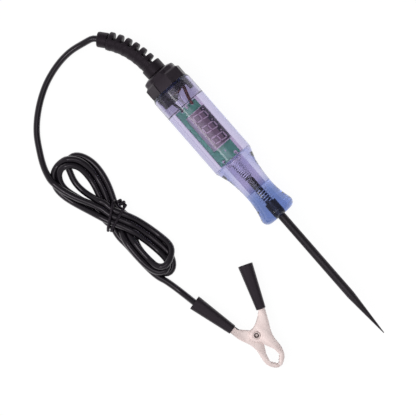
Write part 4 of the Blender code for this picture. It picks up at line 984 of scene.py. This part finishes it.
class TESTER_OT_stage(bpy.types.Operator):
    """Makes the floor, the soft studio light and the camera."""
    bl_idname = "tester.stage"
    bl_label = "Stage"

    def execute(self, context):
        bm = bmesh.new()
        bmesh.ops.create_grid(bm, x_segments=1, y_segments=1, size=3.0)
        floor = bpy.data.objects.new("studio_floor", mesh_of("studio_floor", bm))
        context.scene.collection.objects.link(floor)
        finish = Finish("studio_white", Base_Color=(0.93, 0.93, 0.93), Roughness=0.9)
        glow = finish.node('ShaderNodeEmission', None, {"Color": (1.0, 1.0, 1.0), "Strength": 1.04})
        finish.surface(finish.output, self.seen(finish) * 0.90, finish.shader.outputs[0], glow)
        floor.data.materials.append(finish.material)
        self.light(context)
        self.camera(context)
        return {'FINISHED'}

    def seen(self, finish):
        """One for rays that show the background, straight, mirrored or through clear plastic."""
        straight, mirrored, through = (
            finish.node('ShaderNodeLightPath', output=f"Is {kind} Ray") for kind in
            ("Camera", "Glossy", "Transmission"))
        total = straight + mirrored + through
        return total.math('MINIMUM', total, 1.0)

    def light(self, context):
        """A sky that is pale low down and dim above, dimmer still on the far side, and three lamps overhead."""
        world = bpy.data.worlds.new("studio")
        context.scene.world = world
        world.use_nodes = True
        sky = Nodes(world.node_tree)
        _, aside, height = sky.split(sky.node('ShaderNodeTexCoord', output="Object"))
        far_side = aside.above(0.15, 0.40)
        dim = height.above(0.15, 0.06)
        share = 1.0 - dim * (0.70 + far_side * 0.22)
        depth = sky.node('ShaderNodeLightPath', output="Transmission Depth")
        through = depth.math('MINIMUM', depth, 1.0)
        share = share.math('MAXIMUM', share, through * 0.6)
        bright = sky.node('ShaderNodeBackground', None, {"Color": (1.0, 1.0, 1.0), "Strength": 1.0})
        dark = sky.node('ShaderNodeBackground', None, {"Color": (0.9, 0.92, 1.0), "Strength": 0.12})
        sky.surface(sky.tree.nodes["World Output"], share, dark, bright)
        for name, place, size, watts, mirrored in (
                ("overhead_softbox", (-0.15, -0.40, 1.25), (1.60, 1.60), 12.0, False),
                ("overhead_strip", (0.0, -0.30, 1.20), (0.46, 0.84), 0.80, True),
                ("highlight_box", (-0.10, -0.50, 1.10), (0.20, 0.20), 0.50, True)):
            lamp = bpy.data.lights.new(name, 'AREA')
            lamp.shape = 'RECTANGLE'
            lamp.size, lamp.size_y = size
            lamp.energy = watts
            obj = bpy.data.objects.new(name, lamp)
            context.scene.collection.objects.link(obj)
            obj.location = place
            obj.visible_glossy = mirrored

    def camera(self, context):
        """A camera straight above, whose view is as wide as the photograph's at the tester."""
        scene = context.scene
        data = bpy.data.cameras.new("photo_camera")
        data.sensor_width = 36.0
        data.lens = data.sensor_width * CAMERA_DISTANCE / scene.tester_sizes.frame_width
        data.clip_start = 0.01
        data.clip_end = 20.0
        camera = bpy.data.objects.new("photo_camera", data)
        scene.collection.objects.link(camera)
        camera.location = (*VIEW_CENTRE[:2], VIEW_CENTRE[2] + CAMERA_DISTANCE)
        camera.rotation_euler = (0.0, 0.0, CAMERA_TURN)
        scene.camera = camera
        scene.view_settings.view_transform = 'Standard'


class TESTER_OT_cord(bpy.types.Operator):
    """Makes the cord, tied in a hank, and the wire tie round it."""
    bl_idname = "tester.cord"
    bl_label = "Cord"

    def execute(self, context):
        diameter = context.scene.tester_sizes.cord_diameter
        route = smooth_route(settled_cord(diameter), 0.0014)
        cord = curve_of("cord", route, diameter / 2, 6)
        cord.data.materials.append(finish_of("cord"))
        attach(cord, ROOT)
        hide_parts("cable_lead", "cable_hank", "cable_tail")
        tie = self.tie(diameter)
        on_it = [tie, bpy.data.objects["strain_relief_boot"]]
        on_it += [obj for obj in bpy.data.objects if obj.name.startswith("clip_")]
        length = sum((after - before).length for before, after in zip(route, route[1:]))
        return {'FINISHED'}

    def tie(self, diameter):
        """Thin tie wire drawn twice over the waist, from a short end on one side to a twisted knob on the other."""
        radius = 0.00078
        centre = Vector((*WAIST_MM, 0.0)) * MM
        along = Vector((*WAIST_ALONG, 0.0))
        across = Vector((-WAIST_ALONG[1], WAIST_ALONG[0], 0.0))
        half = OUTER_MM * MM + diameter / 2 + radius
        top = TOP_MM * MM + diameter / 2 + radius
        points = [centre - across * (half + 0.0007) + along * 0.0002 + Vector((0.0, 0.0, 0.0052))]
        # One and a half loops, the first leaning far more than the last
        steps = 32
        for i in range(steps * 3 // 2 + 1):
            turn = i / steps
            angle = math.pi - FULL * turn
            c, s = math.cos(angle), math.sin(angle)
            square = rounded_square(c, s, 4.0)
            share = min(max((turn - 0.5) * 2, 0.0), 1.0)
            share = share * share * (3 - 2 * share)
            reach = half * c / square
            drift = (-0.0022 - 0.28 * reach) * (1 - share) + (0.0020 + 0.04 * reach) * share
            high = radius + (top - radius) * (1 + s / square) / 2
            points.append(centre + along * drift + across * reach + Vector((0.0, 0.0, high)))
        knob = centre + across * (half + 0.0010) + Vector((0.0, 0.0, 0.0062))
        knob_start, knob_length, knob_radius = 0.0024, 0.0052, 0.0010
        twists, count = 2.5, 40
        for i in range(count + 1):
            angle = math.pi / 2 + FULL * twists * i / count
            shift = knob_start - knob_length * i / count
            points.append(knob + along * shift + across * (knob_radius * math.cos(angle))
                          + Vector((0.0, 0.0, knob_radius * math.sin(angle) - abs(shift) * 0.25)))
        return wire("cord_tie", smooth_route(points, 0.0004), radius, "tie", sides=12,
                    replaces=["cable_tie"], slot="tie_plastic")


class TESTER_OT_handle(bpy.types.Operator):
    """Makes the clear handle and the black cap."""
    bl_idname = "tester.handle"
    bl_label = "Handle and cap"

    def execute(self, context):
        shaped("clear_handle", lambda bm: turned(bm, handle_profile(), HANDLE_STEPS, closed=True),
               ["clear"], replaces=["handle"], slot="clear_blue_plastic", angle=30.0)
        shaped("cap", build_cap, ["cap"], replaces=["end_cap"], slot="black_cap_plastic", angle=22.0)
        shaped("strain_relief_boot", build_boot, ["relief"], replaces=["strain_relief"],
               slot="black_soft_plastic", angle=50.0)
        return {'FINISHED'}


PROBE_RADIUS = 0.0022
THREAD_RADIUS = 0.00245
TAPER_LENGTH = 0.0264
SPRING_BODY_RADIUS = 0.0026
SPRING_WIRE_RADIUS = 0.00036


class TESTER_OT_probe(bpy.types.Operator):
    """Makes the probe with its threaded stretch, and the contact spring behind it."""
    bl_idname = "tester.probe"
    bl_label = "Probe and spring"

    def execute(self, context):
        sizes = context.scene.tester_sizes
        shaped("probe", lambda bm: self.build_probe(bm, sizes.probe_thread_pitch), ["probe", "thread"],
               replaces=["probe_rod"], slot="black_steel")
        wire("contact_coil", self.spring_way(), SPRING_WIRE_RADIUS, "spring", sides=10,
             replaces=["contact_spring"], slot="spring_steel")
        return {'FINISHED'}

    def build_probe(self, bm, pitch):
        """The rod with its rounded rear end and long taper, and the ridge of its thread."""
        radius = PROBE_RADIUS
        thread_start = MOUTH_X + NECK_BORE_DEPTH + 0.0004
        thread_end = MOUTH_X + 0.0795
        profile = rounded([
            (TIP_X, 0.0, 0.0), (TIP_X - 0.0004, 0.00026, 0.0001), (TIP_X - TAPER_LENGTH, radius, 0.006),
            (thread_end, radius, 0.0), (thread_end - 0.0002, radius - 0.00025, 0.0),
            (thread_start + 0.0002, radius - 0.00025, 0.0), (thread_start, 0.0020, 0.0),
            (PROBE_REAR_X, 0.0020, 0.0007), (PROBE_REAR_X, 0.0, 0.0)], 8)
        turned(bm, profile, 64)
        turns = int((thread_end - thread_start - 0.0006) / pitch)
        low, high = radius - 0.0004, THREAD_RADIUS
        ridge = [(thread_start + pitch * 0.26, low), (thread_start + pitch * 0.40, high),
                 (thread_start + pitch * 0.60, high), (thread_start + pitch * 0.74, low)]
        # The ridge takes the pale finish, a painted glint
        turned(bm, ridge, 48, closed=True, pitch=pitch, turns=turns, material=1)

    def spring_way(self):
        """A leg on the board, a wide turn at its edge, then the body up to the probe."""
        wide_radius, body_radius, end_radius = 0.0046, SPRING_BODY_RADIUS, 0.0015
        start_x = BOARD_FRONT_X + 0.0006
        end_x = PROBE_REAR_X - 0.0003
        leg = BOARD_TOP + 0.0004
        lead = 0.0022
        points = [Vector((start_x - lead, wide_radius, leg))]
        turns, wide_turns, steps = 11, 2, 28
        for i in range(turns * steps + 1):
            turn = i / steps
            wide = min(turn / wide_turns, 1.0)
            body = max(turn - wide_turns, 0.0) / (turns - wide_turns)
            x = start_x + lead * wide + (end_x - start_x - lead) * body
            widen = (1 + math.cos(math.pi * wide)) / 2
            narrow = max(0.0, turn - (turns - 1))
            radius = body_radius + (wide_radius - body_radius) * widen + (end_radius - body_radius) * narrow
            angle = FULL * turn
            points.append(Vector((x, radius * math.cos(angle), leg * widen + radius * math.sin(angle))))
        return [INSIDE @ p for p in points]


# Display, measured from the board's rear end
DISPLAY_START = 0.0053
DISPLAY_LENGTH = 0.0224
DISPLAY_WIDTH = 0.0098
DISPLAY_TOP = math.sqrt((BORE_RADIUS - 0.0003) ** 2 - (DISPLAY_WIDTH / 2) ** 2)
DIGIT_PITCH = 0.0072
PIN_PITCH = 0.00254


class TESTER_OT_board(bpy.types.Operator):
    """Makes the circuit board, the display with its digits, and what is soldered to the board."""
    bl_idname = "tester.board"
    bl_label = "Board and display"

    def execute(self, context):
        sizes = context.scene.tester_sizes
        shaped("board", self.build_board, ["board", "solder", "hole_shade"], replaces=["circuit_board"],
               slot="green_board")
        shaped("display", lambda bm: self.build_display(bm, sizes), ["housing", "face", "segment", "painted_reflection", "solder"],
               replaces=["display_module"], slot="display_plastic")
        self.leads()
        self.components()
        return {'FINISHED'}

    def build_board(self, bm):
        """The board, and a cone of solder on each pad, with a near-black dot in the middle of the larger ones, painted
        shade where a pin comes through.
        """
        half = math.sqrt((BORE_RADIUS - 0.0003) ** 2 - BOARD_UNDER ** 2)
        box(bm, (BOARD_REAR_X, -half, BOARD_UNDER), (BOARD_FRONT_X, half, BOARD_TOP), INSIDE, 0.00015)
        # Three pads at the rear, two at the front, and one by the display
        for x, y, radius, height in (
                (BOARD_REAR_X + 0.0012, 0.0038, 0.0011, 0.0007),
                (BOARD_REAR_X + 0.0012, -0.0002, 0.0008, 0.0007),
                (BOARD_REAR_X + 0.0012, -0.0034, 0.0009, 0.0007),
                (BOARD_FRONT_X - 0.0014, 0.0042, 0.0011, 0.0006),
                (BOARD_FRONT_X - 0.0014, -0.0042, 0.0011, 0.0006),
                (BOARD_FRONT_X - 0.0053, 0.0004, 0.0006, 0.0004)):
            place = INSIDE @ Matrix.Translation((x, y, BOARD_TOP)) @ Matrix.Rotation(-math.pi / 2, 4, 'Y')
            turned(bm, rounded([(-0.0001, 0.0, 0.0), (-0.0001, radius, 0.0), (height * 0.25, radius * 0.75, 0.0005),
                                (height, radius * 0.35, 0.0003), (height, 0.0, 0.0)], 4), 20, place, material=1)
            if radius > 0.001:
                # Near-black dot: painted shade of the pin's hole
                dot = place @ Matrix.Translation((0.0, 0.0, -radius * 0.3))
                turned(bm, [(height * 0.4, 0.0), (height * 0.4, radius * 0.42), (height * 1.02, radius * 0.34),
                            (height * 1.05, 0.0)], 16, dot, material=2)

    def build_display(self, bm, sizes):
        """The module's housing, its smoked face, a near-black strip along the face's side that is a painted dark
        reflection, three digits, and its pins under the board.
        """
        start = BOARD_REAR_X + DISPLAY_START
        base = BOARD_TOP + 0.0001
        half = DISPLAY_WIDTH / 2
        end = start + DISPLAY_LENGTH
        # The housing, the face on it, the painted dark reflection along the face's side, and its fall down that side
        for low, high, edge, material in (
                ((start, -half, base), (end, half, DISPLAY_TOP), 0.00015, 0),
                ((start + 0.0003, -half + 0.0004, DISPLAY_TOP - 0.0002),
                 (end - 0.0006, half - 0.0004, DISPLAY_TOP + 0.00005), 0.00003, 1),
                ((start + 0.0002, half - 0.0025, DISPLAY_TOP - 0.0002),
                 (end - 0.0007, half + 0.00005, DISPLAY_TOP + 0.00009), 0.00003, 3),
                ((start + 0.0035, half - 0.0004, base + 0.0006),
                 (end - 0.0007, half + 0.00005, DISPLAY_TOP), 0.00003, 3)):
            box(bm, low, high, INSIDE, edge, material)
        middle = (start + end) / 2
        for i in (-1, 0, 1):
            self.digit(bm, middle + i * DIGIT_PITCH, sizes)
        for side in (-1, 1):
            for i in range(6):
                place = INSIDE @ Matrix.Translation((middle + (i - 2.5) * PIN_PITCH, side * 0.0038, BOARD_UNDER))
                turned(bm, rounded([(-0.0002, 0.0, 0.0), (-0.0002, 0.0008, 0.0), (0.0003, 0.0005, 0.0003),
                                    (0.0009, 0.0003, 0.0001), (0.0009, 0.0, 0.0)], 3), 12,
                       place @ Matrix.Rotation(math.pi / 2, 4, 'Y'), material=4)

    def digit(self, bm, x, sizes):
        """One figure of eight of seven bars and its point, read from the tester's other side."""
        height = sizes.digit_height / 2
        wide = height * 0.52
        # Half a bar's width, and the gap between its point and the corner
        bar, gap = 0.00030, 0.0001
        lean = math.tan(sizes.digit_slant)
        middle = 0.0001
        z = DISPLAY_TOP + 0.00004

        def put(outline):
            leaned = [(x - px - lean * py, middle - py) for px, py in outline]
            plate(bm, leaned, z, z + 0.00006, INSIDE, material=2)

        for row in (-1, 0, 1):
            y = row * (height - bar)
            put([(-wide + bar + gap, y), (-wide + 2 * bar + gap, y + bar), (wide - 2 * bar - gap, y + bar),
                 (wide - bar - gap, y), (wide - 2 * bar - gap, y - bar), (-wide + 2 * bar + gap, y - bar)])
        for side in (-1, 1):
            px = side * (wide - bar * 0.4)
            for half in (-1, 1):
                low, high = sorted((half * gap, half * (height - bar - gap)))
                put([(px, low), (px + bar, low + bar), (px + bar, high - bar), (px, high),
                     (px - bar, high - bar), (px - bar, low + bar)])
        px, py = wide + 0.0010, -height + bar
        put([(px - bar, py - bar), (px + bar, py - bar), (px + bar, py + bar), (px - bar, py + bar)])

    def leads(self):
        """The cord's end in the cap, and the three leads that run from it to the board's pads."""
        box_low, box_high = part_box("cord_end")
        start = box_high.x + 0.0001
        rest = BOARD_TOP + 0.0009

        def core(bm):
            turned(bm, rounded([(box_low.x, 0.0, 0.0), (box_low.x, 0.0015, 0.0001),
                                (box_high.x, 0.0015, 0.0003), (box_high.x, 0.0, 0.0)]), 40)

        shaped("cord_inner_end", core, ["cord"], replaces=["cord_end"], slot="cord_sheath")
        for key, radius, pad, way in (
                ("brown", 0.0009, 0.0036, ((-0.0006, 0.0006, 0.0), (0.0012, -0.0008, 0.0014), (0.0034, -0.0040, 0.0030),
                                           (0.0056, -0.0034, 0.0046), (0.0066, 0.0002, 0.0052),
                                           (0.0056, 0.0034, 0.0044), (0.0072, 0.0046, 0.0034),
                                           (0.0100, 0.0040, 0.0026))),
                ("white", 0.0007, -0.0002, ((-0.0006, -0.0006, 0.0004), (0.0030, 0.0022, 0.0014),
                                            (0.0066, 0.0010, 0.0024), (0.0098, -0.0006, 0.0022))),
                ("black", 0.0007, -0.0034, ((-0.0006, -0.0002, -0.0007), (0.0026, -0.0040, -0.0006),
                                            (0.0056, -0.0052, 0.0006), (0.0104, -0.0046, 0.0008)))):
            knots = [Vector((start + x, y, z)) for x, y, z in way]
            knots += [Vector((BOARD_REAR_X - 0.0006, pad, rest)), Vector((BOARD_REAR_X + 0.0014, pad, rest - 0.0004))]
            route = [INSIDE @ p for p in smooth_route(knots, 0.0005)]
            wire(f"{key}_lead", route, radius, key, replaces=[f"lead_{key}"], slot=f"{key}_insulation")

    def components(self):
        """Gives a finish to the parts on the board's back, which keep their own solids."""
        for name in ("controller_chip", "regulator", "input_diode", "capacitor",
                     "resistor_1", "resistor_2", "resistor_3"):
            for slot in frame["nodes"][name].material_slots:
                slot.material = finish_of("ceramic" if name == "capacitor" else "chip")


# The clip's sleeves: where the narrow end lies in the clip's frame, and the way to the open end
SLEEVES = {"moving": (-0.00975, 0.01005, math.radians(163.8)), "fixed": (-0.00970, -0.00855, math.radians(198.4))}
SLEEVE_LENGTH = 0.0242
SLEEVE_WALL = 0.00055
SLEEVE_SQUARENESS = 3.6

# The rivet, and the jaws' softened edges
RIVET_TOP = 0.0043
DISH_RADIUS = 0.0012
JAW_EDGE = 0.00026

# A wall is steep where its normal's height is less than the first, and faces a way above the second; such walls of the
# jaws get painted shade
STEEP = 0.85
FACING = 0.30


def sleeve_place(side):
    """The frame of a sleeve, along X."""
    x, y, angle = SLEEVES[side]
    return CLIP @ Matrix.Translation((x, y, 0.0)) @ Matrix.Rotation(angle, 4, 'Z')


class TESTER_OT_clip(bpy.types.Operator):
    """Makes the clip: its two plated jaws, the dished rivet, the spring and the soft sleeves."""
    bl_idname = "tester.clip"
    bl_label = "Clip"

    def execute(self, context):
        for name, body in (("moving_jaw", JAW), ("fixed_jaw", ROOT)):
            jaw = piece_of(f"clip_{name}", self.jaw(name), ["nickel", "painted_shade"], replaces=[name], body=body,
                           slot="nickel_plate")
            # The steep walls that face the picture's right get painted shade: a near-black nickel finish
            for wall in jaw.data.polygons:
                facing = wall.normal.x * PICTURE_RIGHT[0] + wall.normal.y * PICTURE_RIGHT[1]
                wall.material_index = abs(wall.normal.z) < STEEP and facing > FACING
        rivet = shaped("clip_eyelet", self.build_rivet, ["nickel", "painted_shade"], replaces=["clip_rivet"],
                       slot="nickel_plate")
        # The walls of the rivet's dish get painted shade too
        for wall in rivet.data.polygons:
            reach = (wall.center - CLIP.translation).to_2d().length
            wall.material_index = abs(wall.normal.z) < 0.9 and reach < DISH_RADIUS
        for side, body in (("moving", JAW), ("fixed", ROOT)):
            shaped(f"clip_sleeve_{side}", lambda bm, side=side: self.build_sleeve(bm, side), ["sleeve"],
                   replaces=[f"sleeve_{side}"], slot="sleeve_vinyl", body=body, angle=55.0)
        shaped("clip_lead", self.build_lead, ["black"], replaces=["clip_wire"], slot="black_insulation")
        self.coil()
        return {'FINISHED'}

    def jaw(self, name):
        """A jaw's own shape with its edges softened."""
        bm = solid_of(name)
        bmesh.ops.dissolve_limit(bm, angle_limit=math.radians(2.0), verts=bm.verts, edges=bm.edges)
        sharp = [e for e in bm.edges if e.is_manifold and e.calc_face_angle(0.0) > math.radians(30.0)]
        bmesh.ops.bevel(bm, geom=sharp, offset=JAW_EDGE, segments=2, profile=0.5, affect='EDGES',
                        clamp_overlap=True, material=-1)
        return mesh_of(f"clip_{name}", bm)

    def build_lead(self, bm):
        """The end of the clip's wire in the fixed jaw's handle."""
        low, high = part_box("clip_wire")
        stand = sleeve_place("fixed")
        reach = (high - low).length / 2
        turned(bm, rounded([(-reach, 0.0, 0.0), (-reach, 0.0012, 0.0002), (reach, 0.0012, 0.0002),
                            (reach, 0.0, 0.0)], 3),
               24, stand @ Matrix.Translation(stand.inverted() @ ((low + high) / 2)))

    def coil(self):
        """The torsion spring: two legs and the turns on the rivet, as its own solid."""
        spring = piece_of("clip_coil", mesh_of("clip_coil", solid_of("torsion_spring")), ["spring"],
                          replaces=["torsion_spring"], slot="spring_steel", body=None)
        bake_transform(spring)

    def build_rivet(self, bm):
        """A rivet with a dished middle inside a rolled rim on both sides."""
        top = RIVET_TOP
        profile = rounded([
            (-top + 0.0014, 0.0, 0.0), (-top + 0.0011, 0.0008, 0.0004), (-top - 0.0002, 0.00125, 0.0003),
            (-top - 0.0006, 0.0016, 0.0004), (-top - 0.0003, 0.00205, 0.0002),
            (-top, 0.00205, 0.0), (-top, 0.0013, 0.0)], 5)
        profile += [(-x, radius) for x, radius in reversed(profile)]
        turned(bm, profile, 48, CLIP @ Matrix.Rotation(-math.pi / 2, 4, 'Y'))

    def build_sleeve(self, bm, side):
        """A soft sleeve with a rounded square section, wider at its open end."""
        shares = [i / 16 for i in range(17)]
        profile = [(SLEEVE_LENGTH * share, 1.0) for share in shares]
        profile += [(SLEEVE_LENGTH * share, 1.0 - SLEEVE_WALL) for share in reversed(shares)]
        verts = turned(bm, profile, 72, place=Matrix(), closed=True)
        for vert in verts:
            x, y, z = vert.co
            wall = 1.0 - math.hypot(y, z)
            angle = math.atan2(z, y)
            c, s = math.cos(angle), math.sin(angle)
            square = rounded_square(c, s, SLEEVE_SQUARENESS)
            half = 0.00255 + 0.0014 * min(max(x / SLEEVE_LENGTH, 0.0), 1.0) - wall
            vert.co = (x, half * c / square, (0.0050 - wall) * s / square)
        bmesh.ops.transform(bm, matrix=sleeve_place(side), verts=verts)


class TESTER_PT_panel(bpy.types.Panel):
    """Lists the tester's operators, sizes and colours."""
    bl_idname = "TESTER_PT_panel"
    bl_label = "Circuit Tester"
    bl_space_type = 'VIEW_3D'
    bl_region_type = 'UI'
    bl_category = "Tester"

    def draw(self, context):
        for operator in STEPS:
            self.layout.operator(operator.bl_idname)
        for group in (context.scene.tester_sizes, context.scene.tester_colours):
            column = self.layout.column()
            for name in group.bl_rna.properties.keys():
                if name not in ("rna_type", "name"):
                    column.prop(group, name)


STEPS = (TESTER_OT_stage, TESTER_OT_handle, TESTER_OT_probe, TESTER_OT_board, TESTER_OT_clip, TESTER_OT_cord)
CLASSES = (TesterSizes, TesterColours, *STEPS, TESTER_PT_panel)


def register():
    for item in CLASSES:
        bpy.utils.register_class(item)
    bpy.types.Scene.tester_sizes = PointerProperty(type=TesterSizes)
    bpy.types.Scene.tester_colours = PointerProperty(type=TesterColours)


def unregister():
    del bpy.types.Scene.tester_colours
    del bpy.types.Scene.tester_sizes
    for item in reversed(CLASSES):
        bpy.utils.unregister_class(item)


def main():
    """Registers the classes and makes every piece."""
    register()
    bpy.ops.tester.stage()
    bpy.ops.tester.handle()
    bpy.ops.tester.probe()
    bpy.ops.tester.board()
    bpy.ops.tester.clip()
    bpy.ops.tester.cord()


if __name__ == "__main__":
    main()
